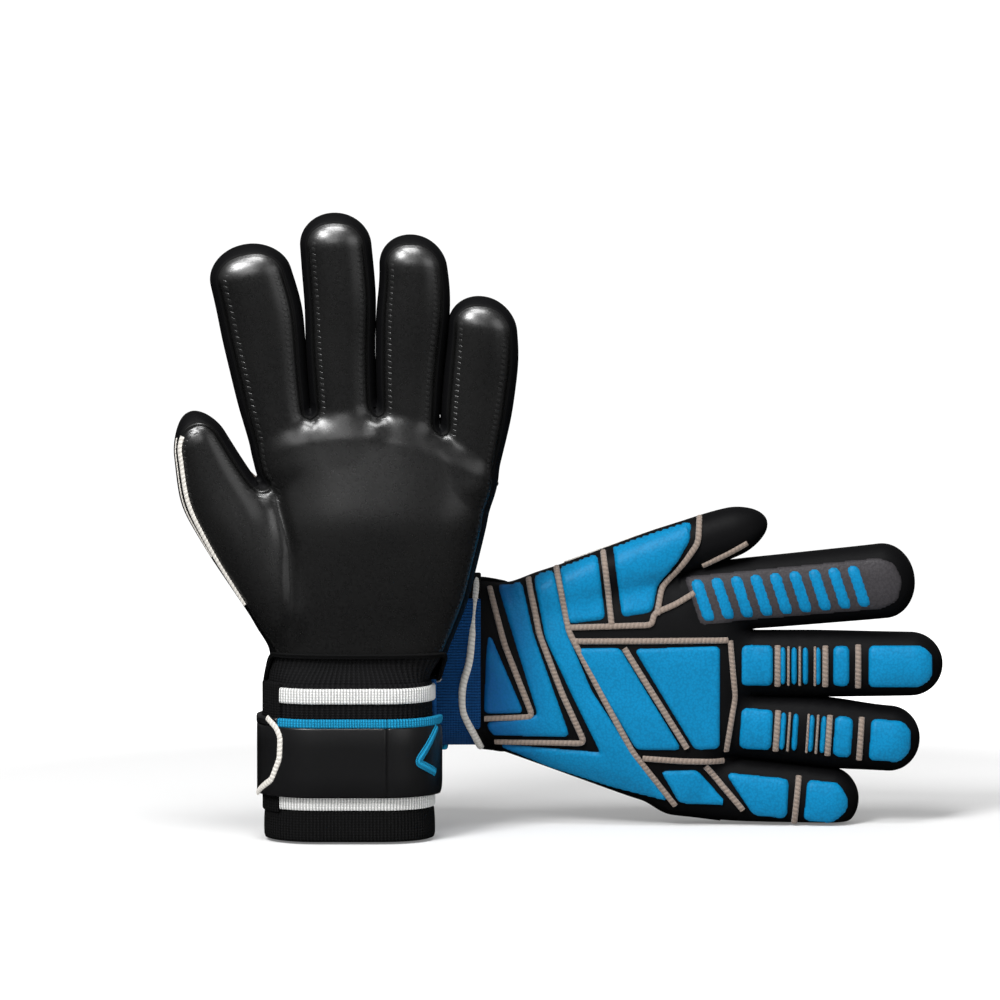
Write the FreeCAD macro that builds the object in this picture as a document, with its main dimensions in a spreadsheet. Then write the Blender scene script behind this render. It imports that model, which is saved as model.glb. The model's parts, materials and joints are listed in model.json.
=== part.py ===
"""A pair of goalkeeper gloves: the left glove stands on its cuff with the palm forward, and the right
glove lies on its little-finger edge behind it, back of the hand forward, fingers pointing to +X.

Frame: millimetres, +Z up, -Y towards the viewer, origin under the middle of the pair, on the floor.
Each glove is drawn in its own glove frame: z from the cuff's mouth to the fingertips, -y the palm
side, +y the back of the hand, and the thumb on -x for the left glove or +x for the right one.
"""

import FreeCAD, Part
import math
import os

import Sketcher

DIGITS = ("thumb", "index", "middle", "ring", "little")

# The driving dimensions, in millimetres and degrees. The sheet holds them under these aliases.
SIZES = {
    # cuff: an elastic bandage, round at both sides, with two woven bands round it
    "cuff_height": 72.0,
    "cuff_half_width": 40.0,
    "cuff_half_depth": 23.0,
    "cuff_wall": 3.0,
    "band_bottom": 12.5,
    "band_spacing": 50.5,
    "band_height": 7.0,
    "band_gap": 0.2,
    "band_thickness": 1.2,
    # closing strap across the palm side of the cuff, and its hook and loop patches
    "strap_bottom": 20.5,
    "strap_height": 36.0,
    "strap_gap": 2.9,
    "strap_thickness": 3.0,
    "patch_inset": 4.0,
    "loop_gap": 0.2,
    "hook_gap": 1.7,
    "patch_thickness": 1.0,
    "strap_split_gap": 0.3,
    "anchor_reach": 18.0,
    # hand: two half shells that meet at the side seam
    "wrist_axis": 84.0,
    "wrist_half_width": 37.0,
    "heel_half_width": 50.0,
    "heel_z": 106.0,
    "thumb_side_x": 60.0,
    "thumb_side_z": 122.0,
    "little_side_x": 65.0,
    "little_side_z": 160.0,
    "shell_depth": 20.0,
    "shell_depth_at_fingers": 16.0,
    "shell_taper_z": 125.0,
    "shell_top": 200.0,
    "shell_round": 7.0,
    "cavity_depth": 12.5,
    "shell_wall": 6.0,
    "seam_gap": 0.1,
    "joint_gap": 0.5,
    # piping sewn along the wrist seam on the back
    "piping_radius": 98.0,
    "piping_sag_z": 75.0,
    "piping_width": 3.0,
    "piping_thickness": 1.6,
    # every digit: wall of the rolled latex, and the foam pad on its back
    "digit_wall": 4.0,
    "pad_floor": 6.3,
    "pad_rise": 1.0,
    "pad_side_gap": 0.4,
    "pad_corner": 3.0,
    "tip_round": 9.0,
    # each digit: middle of its base line, tilt away from the little finger, and its own size
    "thumb_x": -52.5,
    "thumb_z": 143.0,
    "thumb_tilt": -26.0,
    "thumb_right_tilt": -17.0,
    "thumb_length": 58.0,
    "thumb_half_width": 16.0,
    "thumb_half_depth": 12.5,
    "thumb_knuckle": 10.5,
    "thumb_joint": 33.0,
    "index_x": -34.5,
    "index_z": 193.0,
    "index_tilt": -12.6,
    "index_right_tilt": -6.5,
    "index_length": 79.0,
    "index_half_width": 14.8,
    "index_half_depth": 12.5,
    "index_knuckle": 14.0,
    "index_joint": 42.0,
    "middle_x": -4.3,
    "middle_z": 196.0,
    "middle_tilt": -2.0,
    "middle_right_tilt": 0.0,
    "middle_length": 89.0,
    "middle_half_width": 14.6,
    "middle_half_depth": 12.5,
    "middle_knuckle": 14.0,
    "middle_joint": 42.0,
    "ring_x": 25.2,
    "ring_z": 193.0,
    "ring_tilt": 1.5,
    "ring_right_tilt": 3.5,
    "ring_length": 82.0,
    "ring_half_width": 14.0,
    "ring_half_depth": 12.5,
    "ring_knuckle": 14.0,
    "ring_joint": 42.0,
    "little_x": 54.3,
    "little_z": 183.5,
    "little_tilt": 6.2,
    "little_right_tilt": 5.5,
    "little_length": 63.5,
    "little_half_width": 13.8,
    "little_half_depth": 11.5,
    "little_knuckle": 12.5,
    "little_joint": 37.0,
    # where the two gloves' frames stand
    "left_x": -90.87,
    "left_y": -28.5,
    "left_z": 0.0,
    "right_x": -104.87,
    "right_y": 28.5,
    "right_z": 73.31,
}

BEYOND = 30.0  # how far a cutting tool reaches past what it cuts

doc = FreeCAD.newDocument("goalkeeper_gloves")
sheet = doc.addObject("Spreadsheet::Sheet", "Sizes")


class Term:
    """A number together with the expression that works it out from the sheet."""

    def __init__(self, value, text):
        self.value = value
        self.text = text

    def join(self, other, sign, value):
        return Term(value, f"({self.text} {sign} {other.text})")

    def __add__(self, other):
        other = term(other)
        return self.join(other, "+", self.value + other.value)

    def __sub__(self, other):
        other = term(other)
        return self.join(other, "-", self.value - other.value)

    def __mul__(self, other):
        other = term(other)
        return self.join(other, "*", self.value * other.value)

    def __neg__(self):
        return self * -1.0

    def cosine(self):
        return Term(math.cos(math.radians(self.value)), f"cos({self.text} * 1 deg)")

    def sine(self):
        return Term(math.sin(math.radians(self.value)), f"sin({self.text} * 1 deg)")


def term(number):
    """A plain number as a Term; a Term stays as it is."""
    return number if isinstance(number, Term) else Term(number, f"({number})")


def size(alias):
    """The Term of one cell of the sheet."""
    return Term(SIZES[alias], "Sizes." + alias)


def bind(thing, prop, amount):
    """Sets a length of an object and binds it to the sheet."""
    setattr(thing, prop, amount.value)
    thing.setExpression(prop, amount.text)


def fill_sheet():
    for row, (alias, number) in enumerate(SIZES.items(), start=1):
        sheet.set(f"A{row}", alias)
        sheet.set(f"B{row}", str(number))
        sheet.setAlias(f"B{row}", alias)
    doc.recompute()


# ---------------------------------------------------------------- sketches and features


def new_body(label):
    made = doc.addObject("PartDesign::Body", label)
    made.Label = label
    return made


def new_sketch(body, role, lift=None):
    """A sketch on one of the body's own origin planes, lifted along the plane's normal."""
    plane = next(f for f in body.Origin.OriginFeatures if f.Role == role)
    made = body.newObject("Sketcher::SketchObject", body.Label + "_sketch")
    made.AttachmentSupport = [(plane, "")]
    made.MapMode = "FlatFace"
    if lift is not None:
        made.AttachmentOffset = FreeCAD.Placement(
            FreeCAD.Vector(0, 0, lift.value), FreeCAD.Rotation()
        )
        made.setExpression("AttachmentOffset.Base.z", lift.text)
    return made


def pin(sketch, curve, point, x=None, y=None):
    """Dimensions one point of a curve from the sketch's origin."""
    for kind, amount in (("DistanceX", x), ("DistanceY", y)):
        if amount is not None:
            rule = Sketcher.Constraint(kind, -1, 1, curve, point, amount.value)
            number = sketch.addConstraint(rule)
            sketch.setExpression(f"Constraints[{number}]", amount.text)


def draw_polygon(sketch, corners):
    """A closed outline of straight lines through corners given as pairs of Terms."""
    first = sketch.GeometryCount
    spots = [FreeCAD.Vector(x.value, y.value, 0) for x, y in corners]
    count = len(spots)
    for i, spot in enumerate(spots):
        sketch.addGeometry(Part.LineSegment(spot, spots[(i + 1) % count]), False)
    for i in range(count):
        after = first + (i + 1) % count
        sketch.addConstraint(Sketcher.Constraint("Coincident", first + i, 2, after, 1))
    for i, (x, y) in enumerate(corners):
        pin(sketch, first + i, 1, x, y)


def draw_rectangle(sketch, left, right, low, high):
    draw_polygon(sketch, [(left, low), (right, low), (right, high), (left, high)])


def draw_stadium(sketch, half_width, half_depth):
    """Two straight sides joined by half circles, centred on the sketch's origin."""
    first = sketch.GeometryCount
    middle = half_width - half_depth
    c, d = middle.value, half_depth.value
    up = FreeCAD.Vector(0, 0, 1)
    right = Part.Circle(FreeCAD.Vector(c, 0, 0), up, d)
    left = Part.Circle(FreeCAD.Vector(-c, 0, 0), up, d)
    quarter = math.pi / 2
    sketch.addGeometry(
        [
            Part.LineSegment(FreeCAD.Vector(-c, -d, 0), FreeCAD.Vector(c, -d, 0)),
            Part.ArcOfCircle(right, -quarter, quarter),
            Part.LineSegment(FreeCAD.Vector(c, d, 0), FreeCAD.Vector(-c, d, 0)),
            Part.ArcOfCircle(left, quarter, 3 * quarter),
        ],
        False,
    )
    for i in range(4):
        after = first + (i + 1) % 4
        sketch.addConstraint(Sketcher.Constraint("Coincident", first + i, 2, after, 1))
    pin(sketch, first, 1, -middle, -half_depth)
    pin(sketch, first, 2, middle, -half_depth)
    pin(sketch, first + 2, 1, middle, half_depth)
    pin(sketch, first + 2, 2, -middle, half_depth)
    pin(sketch, first + 1, 3, middle)
    pin(sketch, first + 3, 3, -middle)


def draw_fold(sketch, radius, reach):
    """What lies outside a circle round the hinge, below it on the palm side. With this cut away,
    a segment folds towards the palm without meeting its neighbour."""
    first = sketch.GeometryCount
    r, far = radius.value, reach.value
    spots = [(-r, 0), (-far, 0), (-far, -far), (0, -far), (0, -r)]
    spots = [FreeCAD.Vector(x, y, 0) for x, y in spots]
    for start, stop in zip(spots, spots[1:]):
        sketch.addGeometry(Part.LineSegment(start, stop), False)
    circle = Part.Circle(FreeCAD.Vector(0, 0, 0), FreeCAD.Vector(0, 0, 1), r)
    sketch.addGeometry(Part.ArcOfCircle(circle, math.pi, 1.5 * math.pi), False)
    for i in range(3):
        sketch.addConstraint(Sketcher.Constraint("Coincident", first + i, 2, first + i + 1, 1))
    sketch.addConstraint(Sketcher.Constraint("Coincident", first + 3, 2, first + 4, 2))
    sketch.addConstraint(Sketcher.Constraint("Coincident", first + 4, 1, first, 1))
    nothing = term(0.0)
    pin(sketch, first + 4, 3, nothing)
    pin(sketch, first, 1, -radius, nothing)
    pin(sketch, first + 1, 1, -reach, nothing)
    pin(sketch, first + 2, 1, -reach, -reach)
    pin(sketch, first + 3, 1, nothing, -reach)
    pin(sketch, first + 3, 2, nothing, -radius)


def add_pad(body, sketch, length, backwards=False):
    made = body.newObject("PartDesign::Pad", body.Label + "_pad")
    made.Profile = sketch
    made.Reversed = backwards
    bind(made, "Length", length)
    sketch.Visibility = False
    return made


def add_pocket(body, sketch, length, backwards=False, both_ways=False):
    """Cuts the sketch away, and stops the script if nothing was cut."""
    before = body.Tip.Shape.Volume
    made = body.newObject("PartDesign::Pocket", body.Label + "_pocket")
    made.Profile = sketch
    made.Reversed = backwards
    if both_ways:
        made.SideType = "Symmetric"
    bind(made, "Length", length)
    sketch.Visibility = False
    doc.recompute()
    if made.Shape.Volume > before - 1.0:
        raise ValueError(f"{made.Label} cut nothing")
    return made


def add_fillet(body, radius, wanted):
    """Rounds every edge of the body's tip for which wanted(edge) is true."""
    doc.recompute()
    base = body.Tip
    names = [f"Edge{i}" for i, e in enumerate(base.Shape.Edges, start=1) if wanted(e)]
    made = body.newObject("PartDesign::Fillet", body.Label + "_fillet")
    made.Base = (base, names)
    bind(made, "Radius", radius)
    doc.recompute()
    return made


# ---------------------------------------------------------------- gloves and their frames


class Glove:
    """One glove: its name, the side its thumb is on, and where its frame stands."""

    def __init__(self, name, mirror, frame):
        self.name = name
        self.mirror = mirror
        self.frame = frame

    def across(self, amount):
        """An x of the left glove, as it is on this glove."""
        return amount * self.mirror

    def tilt(self, digit):
        alias = digit + ("_tilt" if self.name == "left" else "_right_tilt")
        return size(alias) * self.mirror

    def digit_point(self, digit, aside, along):
        """A point beside and along a digit, from the middle of its base line: x and z Terms."""
        lean = self.tilt(digit)
        cos, sin = lean.cosine(), lean.sine()
        x = self.across(size(digit + "_x")) + cos * aside + sin * along
        z = size(digit + "_z") - sin * aside + cos * along
        return x, z

    def digit_frame(self, digit, along):
        """The frame on a digit's axis, this far from its base line, in the pair's frame."""
        x, z = self.digit_point(digit, term(0.0), along)
        turn = FreeCAD.Rotation(FreeCAD.Vector(0, 1, 0), self.tilt(digit).value)
        spot = FreeCAD.Placement(FreeCAD.Vector(x.value, 0, z.value), turn)
        return self.frame.multiply(spot)


def standing_place(name):
    return FreeCAD.Vector(*(SIZES[f"{name}_{axis}"] for axis in "xyz"))


def left_frame():
    """Fingers up and the palm towards -Y."""
    return FreeCAD.Placement(standing_place("left"), FreeCAD.Rotation())


def right_frame():
    """Fingers along +X, thumb up and the back of the hand towards -Y."""
    spot = standing_place("right")
    turn = FreeCAD.Matrix(0, 0, 1, spot.x, 0, -1, 0, spot.y, 1, 0, 0, spot.z)
    return FreeCAD.Placement(turn)


# ---------------------------------------------------------------- cuff and strap


def wrap_round_cuff(label, gap, thickness, bottom, height):
    """A sleeve round the cuff, this far outside the bandage."""
    sleeve = new_body(label)
    outline = new_sketch(sleeve, "XY_Plane", bottom)
    inside = gap
    outside = gap + thickness
    width, depth = size("cuff_half_width"), size("cuff_half_depth")
    draw_stadium(outline, width + outside, depth + outside)
    draw_stadium(outline, width + inside, depth + inside)
    add_pad(sleeve, outline, height)
    return sleeve


def keep_box(glove, label, whole, left, right, front, back):
    """The part of a wrap that lies in a box, given on the left glove."""
    box = doc.addObject("Part::Box", label + "_box")
    start = left if glove.mirror > 0 else -right
    bind(box, "Length", right - left)
    bind(box, "Width", back - front)
    bind(box, "Height", size("cuff_height"))
    box.setExpression("Placement.Base.x", start.text)
    box.setExpression("Placement.Base.y", front.text)
    kept = doc.addObject("Part::Common", label)
    kept.Label = label
    kept.Base = whole
    kept.Tool = box
    return kept


def make_bandage(glove):
    label = glove.name + "_bandage"
    wall = size("cuff_wall")
    sleeve = wrap_round_cuff(label, -wall, wall, term(0.0), size("cuff_height"))
    return [(sleeve, glove.frame)]


def make_bands(glove):
    """The two woven bands, one node of two solids."""
    bands = []
    for number in range(2):
        bottom = size("band_bottom") + size("band_spacing") * float(number)
        label = f"{glove.name}_band_{number}"
        gap, thickness = size("band_gap"), size("band_thickness")
        bands.append(wrap_round_cuff(label, gap, thickness, bottom, size("band_height")))
    both = doc.addObject("Part::Compound", glove.name + "_cuff_bands")
    both.Label = glove.name + "_cuff_bands"
    both.Links = bands
    return [(both, glove.frame)]


def make_strap(glove):
    """Anchor sewn to the thumb side of the cuff, strap across the palm side, and its tip, which
    carries the hook patch that grips the loop patch on the cuff."""
    far = size("cuff_half_width") + BEYOND
    split = size("cuff_half_width") - size("cuff_half_depth")
    parting = size("strap_split_gap")
    inset = size("patch_inset")
    patch_bottom = size("strap_bottom") + inset
    patch_height = size("strap_height") - inset * 2.0
    strap = (size("strap_gap"), size("strap_thickness"), size("strap_bottom"), size("strap_height"))
    hook = (size("hook_gap"), size("patch_thickness"), patch_bottom, patch_height)
    loop = (size("loop_gap"), size("patch_thickness"), patch_bottom, patch_height)
    boxes = {
        "strap_anchor": (strap, -far, term(0.0), parting, size("anchor_reach")),
        "strap_band": (strap, -far, split, -far, -parting),
        "strap_tip": (strap, split + parting, far, -far, -parting),
        "hook_patch": (hook, split + inset, far, -far, -inset),
        "loop_patch": (loop, split + inset, far, -far, -inset),
    }
    nodes = []
    for name, (wrap, left, right, front, back) in boxes.items():
        label = f"{glove.name}_{name}"
        whole = wrap_round_cuff(label + "_whole", *wrap)
        nodes.append((keep_box(glove, label, whole, left, right, front, back), glove.frame))
    return nodes


# ---------------------------------------------------------------- hand shells


def hand_outline(glove, bottom):
    """The outline of the hand, from the wrist round by the thumb and the fingers."""
    x = glove.across
    gap = term(0.0)
    corners = [
        (x(-size("wrist_half_width")), bottom),
        (x(-size("heel_half_width")), size("heel_z")),
        (x(-size("thumb_side_x")), size("thumb_side_z")),
    ]
    for digit in DIGITS:
        reach = size(digit + "_half_width")
        for aside in (-reach, reach):
            corners.append(glove.digit_point(digit, x(aside), gap))
    corners.append((x(size("little_side_x")), size("little_side_z")))
    corners.append((x(size("wrist_half_width")), bottom))
    return corners


def cavity_outline(glove):
    """The room for the hand: open at the wrist and through each digit's base line."""
    x = glove.across
    wall = size("shell_wall")
    low = size("wrist_axis") - BEYOND
    corners = [
        (x(wall - size("wrist_half_width")), low),
        (x(wall - size("wrist_half_width")), size("wrist_axis")),
        (x(wall - size("thumb_side_x")), size("thumb_side_z")),
    ]
    inside, through = term(-9.0), term(6.0)
    for digit in DIGITS:
        reach = size(digit + "_half_width") - size("digit_wall")
        for aside, along in ((-reach, inside), (-reach, through), (reach, through), (reach, inside)):
            corners.append(glove.digit_point(digit, x(aside), along))
    corners.append((x(size("little_side_x") - wall), size("little_side_z")))
    corners.append((x(size("wrist_half_width") - wall), size("wrist_axis")))
    corners.append((x(size("wrist_half_width") - wall), low))
    return corners


def is_side_edge(edge, face):
    """Whether an edge of the outer face runs along the hand's side, not across a digit."""
    box = edge.BoundBox
    return abs(abs(edge.CenterOfMass.y) - face) < 0.01 and box.ZLength > max(box.XLength, 12.0)


def make_shell(glove, name, bottom, backwards):
    """Half of the hand, hollowed from the side seam, and thinner towards the fingers."""
    shell = new_body(f"{glove.name}_{name}")
    away = 1.0 if backwards else -1.0
    depth = size("shell_depth")
    outline = new_sketch(shell, "XZ_Plane", size("seam_gap") * -away)
    draw_polygon(outline, hand_outline(glove, bottom))
    add_pad(shell, outline, depth, backwards)
    doc.recompute()

    face = (depth + size("seam_gap")).value
    add_fillet(shell, size("shell_round"), lambda e: is_side_edge(e, face))

    side_view = new_sketch(shell, "YZ_Plane")
    deep = depth + BEYOND
    slope = [
        (depth * away + size("seam_gap") * away, size("shell_taper_z")),
        (size("shell_depth_at_fingers") * away, size("shell_top")),
        (deep * away, size("shell_top") + BEYOND),
        (deep * away, size("shell_taper_z")),
    ]
    draw_polygon(side_view, slope)
    add_pocket(shell, side_view, term(8 * BEYOND), both_ways=True)

    room = new_sketch(shell, "XZ_Plane")
    draw_polygon(room, cavity_outline(glove))
    add_pocket(shell, room, size("cavity_depth"), not backwards)
    return [(shell, glove.frame)]


def make_piping(glove):
    """A flat band that dips across the back of the wrist."""
    label = glove.name + "_wrist_piping"
    ring = new_body(label + "_ring")
    height = size("piping_radius") + size("piping_sag_z")
    face = new_sketch(ring, "XZ_Plane", -(size("shell_depth") + size("joint_gap")))
    for radius in (size("piping_radius"), size("piping_radius") - size("piping_width")):
        middle = FreeCAD.Vector(0, height.value, 0)
        number = face.addGeometry(Part.Circle(middle, FreeCAD.Vector(0, 0, 1), radius.value), False)
        rule = face.addConstraint(Sketcher.Constraint("Radius", number, radius.value))
        face.setExpression(f"Constraints[{rule}]", radius.text)
        pin(face, number, 3, term(0.0), height)
    add_pad(ring, face, size("piping_thickness"), backwards=True)
    box = doc.addObject("Part::Box", label + "_box")
    bind(box, "Length", size("wrist_half_width") * 2.0)
    bind(box, "Width", term(2 * BEYOND))
    bind(box, "Height", size("wrist_axis"))
    box.setExpression("Placement.Base.x", (-size("wrist_half_width")).text)
    band = doc.addObject("Part::Common", label)
    band.Label = label
    band.Base = ring
    band.Tool = box
    return [(band, glove.frame)]


# ---------------------------------------------------------------- digits


def make_grip(label, digit, low, high, closed):
    """Rolled latex: palm side and both flanks of one digit, open at the back for its pad."""
    grip = new_body(label)
    width, depth, wall = size(digit + "_half_width"), size(digit + "_half_depth"), size("digit_wall")
    outline = new_sketch(grip, "XY_Plane", low)
    draw_stadium(outline, width, depth)
    add_pad(grip, outline, high - low)
    if closed:
        top = high.value
        add_fillet(grip, size("tip_round"), lambda e: abs(e.CenterOfMass.z - top) < 0.01)
    room = new_sketch(grip, "XY_Plane", low)
    inner = width - wall
    draw_rectangle(room, -inner, inner, wall - depth, depth + BEYOND)
    inside = high - wall if closed else high + BEYOND
    doc.recompute()
    add_pocket(grip, room, inside - low, backwards=True)

    fold = new_sketch(grip, "YZ_Plane")
    draw_fold(fold, -low, depth + BEYOND)
    add_pocket(grip, fold, term(8 * BEYOND), both_ways=True)
    return grip


def make_pad(label, digit, low, high):
    """The foam pad on the back of one digit, bevelled along its outer edges."""
    pad = new_body(label)
    half = size(digit + "_half_width") - size("digit_wall") - size("pad_side_gap")
    floor = size("pad_floor")
    top = size(digit + "_half_depth") + size("pad_rise")
    corner = size("pad_corner")
    outline = new_sketch(pad, "XY_Plane", low)
    section = [
        (-half, floor),
        (half, floor),
        (half, top - corner),
        (half - corner, top),
        (corner - half, top),
        (-half, top - corner),
    ]
    draw_polygon(outline, section)
    add_pad(pad, outline, high - low)
    return pad


def make_digit(glove, digit):
    """Two segments, each a grip and a back pad, drawn from the hinge that carries it."""
    gap, wall = size("joint_gap"), size("digit_wall")
    knuckle, joint = size(digit + "_knuckle"), size(digit + "_joint")
    depth = size(digit + "_half_depth")
    parting = joint - depth - gap
    ends = {
        "base": (knuckle, gap, parting - gap, False),
        "tip": (joint, parting, size(digit + "_length"), True),
    }
    nodes = []
    for name, (hinge, start, stop, closed) in ends.items():
        low, high = start - hinge, stop - hinge
        frame = glove.digit_frame(digit, hinge)
        stem = f"{glove.name}_{digit}"
        nodes.append((make_grip(f"{stem}_grip_{name}", digit, low, high, closed), frame))
        pad_top = high - wall - gap if closed else high
        nodes.append((make_pad(f"{stem}_back_{name}", digit, low, pad_top), frame))
    return nodes


# ---------------------------------------------------------------- assembly


def make_glove(glove):
    nodes = []
    nodes += make_bandage(glove)
    nodes += make_bands(glove)
    nodes += make_strap(glove)
    nodes += make_shell(glove, "palm", size("wrist_axis") + size("joint_gap"), False)
    nodes += make_shell(glove, "backhand", size("cuff_height") + size("joint_gap"), True)
    nodes += make_piping(glove)
    for digit in DIGITS:
        nodes += make_digit(glove, digit)
    return nodes


def main():
    fill_sheet()
    gloves = (Glove("left", 1.0, left_frame()), Glove("right", -1.0, right_frame()))
    nodes = []
    for glove in gloves:
        nodes += make_glove(glove)
    for node, frame in nodes:
        node.Placement = frame
    doc.recompute()

    failed = [o.Label for o in doc.Objects if {"Invalid", "Error"} & set(o.State)]
    if failed:
        raise ValueError(f"these objects failed: {failed}")
    for node, _ in nodes:
        if node.Shape.isNull() or not node.Shape.isValid():
            raise ValueError(f"{node.Label} has no valid shape")

    os.makedirs("parts", exist_ok=True)
    for node, _ in nodes:
        node.Shape.exportStep(f"parts/{node.Label}.step")
    print(len(nodes), "nodes written")


main()
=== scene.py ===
"""Looks of a pair of goalkeeper gloves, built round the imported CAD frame.

Each glove is drawn in its own frame, in millimetres: x across the palm with the thumb at -x, y from the
palm (-) to the back (+), z from the cuff's mouth to the fingertips. The right glove is the same drawing
with x mirrored. Glove.to_row carries points into the row frame, in metres.
"""

import json
import math

import bpy
import numpy as np
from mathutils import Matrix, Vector


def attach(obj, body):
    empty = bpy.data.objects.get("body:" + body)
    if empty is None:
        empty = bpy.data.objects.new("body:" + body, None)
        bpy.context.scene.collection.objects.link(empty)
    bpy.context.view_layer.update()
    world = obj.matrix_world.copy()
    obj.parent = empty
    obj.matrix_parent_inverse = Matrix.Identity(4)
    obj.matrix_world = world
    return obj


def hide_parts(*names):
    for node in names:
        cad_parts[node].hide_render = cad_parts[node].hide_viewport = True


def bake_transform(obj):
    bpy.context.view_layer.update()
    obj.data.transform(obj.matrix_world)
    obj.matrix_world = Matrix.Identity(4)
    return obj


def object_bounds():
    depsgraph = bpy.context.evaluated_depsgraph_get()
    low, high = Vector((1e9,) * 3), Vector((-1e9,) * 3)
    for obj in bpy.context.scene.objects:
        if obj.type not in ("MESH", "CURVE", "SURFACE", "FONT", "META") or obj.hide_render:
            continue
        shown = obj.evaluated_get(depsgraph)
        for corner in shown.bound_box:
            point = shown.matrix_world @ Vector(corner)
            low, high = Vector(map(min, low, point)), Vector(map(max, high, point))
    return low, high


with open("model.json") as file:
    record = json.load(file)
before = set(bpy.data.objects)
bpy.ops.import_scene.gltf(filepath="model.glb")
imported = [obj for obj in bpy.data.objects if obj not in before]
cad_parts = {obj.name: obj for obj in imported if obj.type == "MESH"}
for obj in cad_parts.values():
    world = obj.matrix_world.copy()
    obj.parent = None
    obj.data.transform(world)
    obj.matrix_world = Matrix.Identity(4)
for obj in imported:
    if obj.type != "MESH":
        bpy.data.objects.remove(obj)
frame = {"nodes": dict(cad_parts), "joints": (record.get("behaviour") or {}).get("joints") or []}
CAD_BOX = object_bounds()

MM = 0.001
FINGERS = ("index", "middle", "ring", "little")
DIGITS = ("thumb",) + FINGERS
JOINTS = {joint["name"]: joint for joint in frame["joints"]}

THUMB_START = 12.3  # the thumb's skin is cut off at its crotch
THUMB_MIDDLE = 25.0  # and cut in two here

BAND_HEIGHT = 7.0

GRID = 1.5  # spacing of the sampling grid for the skin
PAD_GRID = 1.0  # and for the raised pads


# ---------------------------------------------------------------- frames read from the CAD


def axis_nearest(v):
    """The signed row axis nearest to a direction."""
    v = np.array(v, float)
    k = int(np.argmax(np.abs(v)))
    axis = np.zeros(3)
    axis[k] = math.copysign(1.0, v[k])
    return axis


def node_points(node):
    return np.array([v.co for v in frame["nodes"][node].data.vertices], float)


class Digit:
    """One digit's axis and sizes in the glove frame: s runs along it from its base line."""

    def __init__(self, glove, name):
        self.name = name
        stem = f"{glove.name}_{name}"
        knuckle = glove.from_row([JOINTS[stem + "_knuckle"]["pos_m"]])[0]
        joint = glove.from_row([JOINTS[stem + "_middle_joint"]["pos_m"]])[0]
        self.along = (joint - knuckle) / np.linalg.norm(joint - knuckle)
        self.aside = np.array([self.along[2], 0.0, -self.along[0]])
        base = glove.from_row(node_points(stem + "_grip_base")) - knuckle
        tip = glove.from_row(node_points(stem + "_grip_tip")) - knuckle
        low = (base @ self.along).min()
        self.base = knuckle + self.along * low
        self.knuckle = -low
        self.joint = self.knuckle + float((joint - knuckle) @ self.along)
        self.length = (tip @ self.along).max() - low
        self.half_width = np.abs(base @ self.aside).max()
        self.half_depth = np.abs(base[:, 1]).max()
        # the skin starts at start, is cut in two at middle, and has finished bending at end
        self.start, self.middle = 0.0, (self.knuckle + self.joint) / 2
        if name == "thumb":
            self.start, self.middle = THUMB_START, THUMB_MIDDLE
        self.end = 2 * self.joint - self.middle
        self.width, self.shift = bend_line(HALF_WIDTHS[stem], 6.0), bend_line(SHIFTS[stem], 6.0)
        if name == "thumb":
            self.shoulder, self.reach = THUMB_TIP[glove.name]
            self.deep, self.root = THUMB_DEEP, 45.0
        else:
            self.reach = self.half_width
            self.shoulder = self.length - self.reach
            self.deep, self.root = FINGER_DEEP, 22.0

    def local(self, points):
        """a across, y, and s along the digit."""
        rel = points - self.base
        return rel @ self.aside, points[:, 1], rel @ self.along

    def point(self, a, y, s):
        return self.base + self.aside * a + self.along * s + np.array([0.0, y, 0.0])


class Glove:
    def __init__(self, name):
        self.name = name
        wrist = JOINTS[name + "_wrist_bend"]
        back = node_points(name + "_backhand").mean(0) - node_points(name + "_palm").mean(0)
        x_axis = axis_nearest(wrist["axis"])
        y_axis = axis_nearest(back - x_axis * (back @ x_axis))
        z_axis = np.cross(x_axis, y_axis)
        self.turn = np.stack([x_axis, y_axis, z_axis])
        self.origin = np.array(wrist["pos_m"], float)
        self.side = 1.0
        cuff = self.from_row(node_points(name + "_bandage"))
        self.origin = self.origin + z_axis * cuff[:, 2].min() * MM
        thumb = self.from_row([JOINTS[name + "_thumb_knuckle"]["pos_m"]])[0]
        self.side = -math.copysign(1.0, thumb[0])
        self.band_height = BAND_HEIGHT
        self.digits = {digit: Digit(self, digit) for digit in DIGITS}

    def from_row(self, points):
        local = (np.array(points, float) - self.origin) @ self.turn.T / MM
        return local * np.array([self.side, 1.0, 1.0])

    def to_row(self, points):
        local = np.array(points, float) * np.array([self.side, 1.0, 1.0])
        return local * MM @ self.turn + self.origin

    def body(self, part):
        return f"{self.name}_{part}"

    def node_box(self, node):
        points = self.from_row(node_points(f"{self.name}_{node}"))
        return points.min(0), points.max(0)


# ---------------------------------------------------------------- distance fields


def ease(value, low, high):
    """0 below low, 1 above high and smooth between them."""
    t = np.clip((value - low) / (high - low), 0.0, 1.0)
    return t * t * (3 - 2 * t)


def smooth_min(a, b, k):
    h = np.clip(0.5 + 0.5 * (b - a) / k, 0.0, 1.0)
    return b * (1 - h) + a * h - k * h * (1 - h)


def egg(across, depth, beyond, width, thick, reach, power):
    """Distance to a padded tube: a superellipse across and in depth that rounds off over reach
    where beyond, the distance past its shoulder, is positive."""
    u, v = np.abs(across) / width, np.abs(depth) / thick
    t = np.maximum(beyond, 0.0) / reach
    q = np.maximum((u**power + v**power) ** (1 / power), 1e-6)
    r = np.maximum(np.sqrt(q * q + t * t), 1e-6)
    du = (u / q) ** (power - 1) / width * q / r
    dv = (v / q) ** (power - 1) / thick * q / r
    slope = np.sqrt(du**2 + dv**2 + (t / r / reach) ** 2)
    return (r - 1) / np.maximum(slope, 1e-3)


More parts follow.
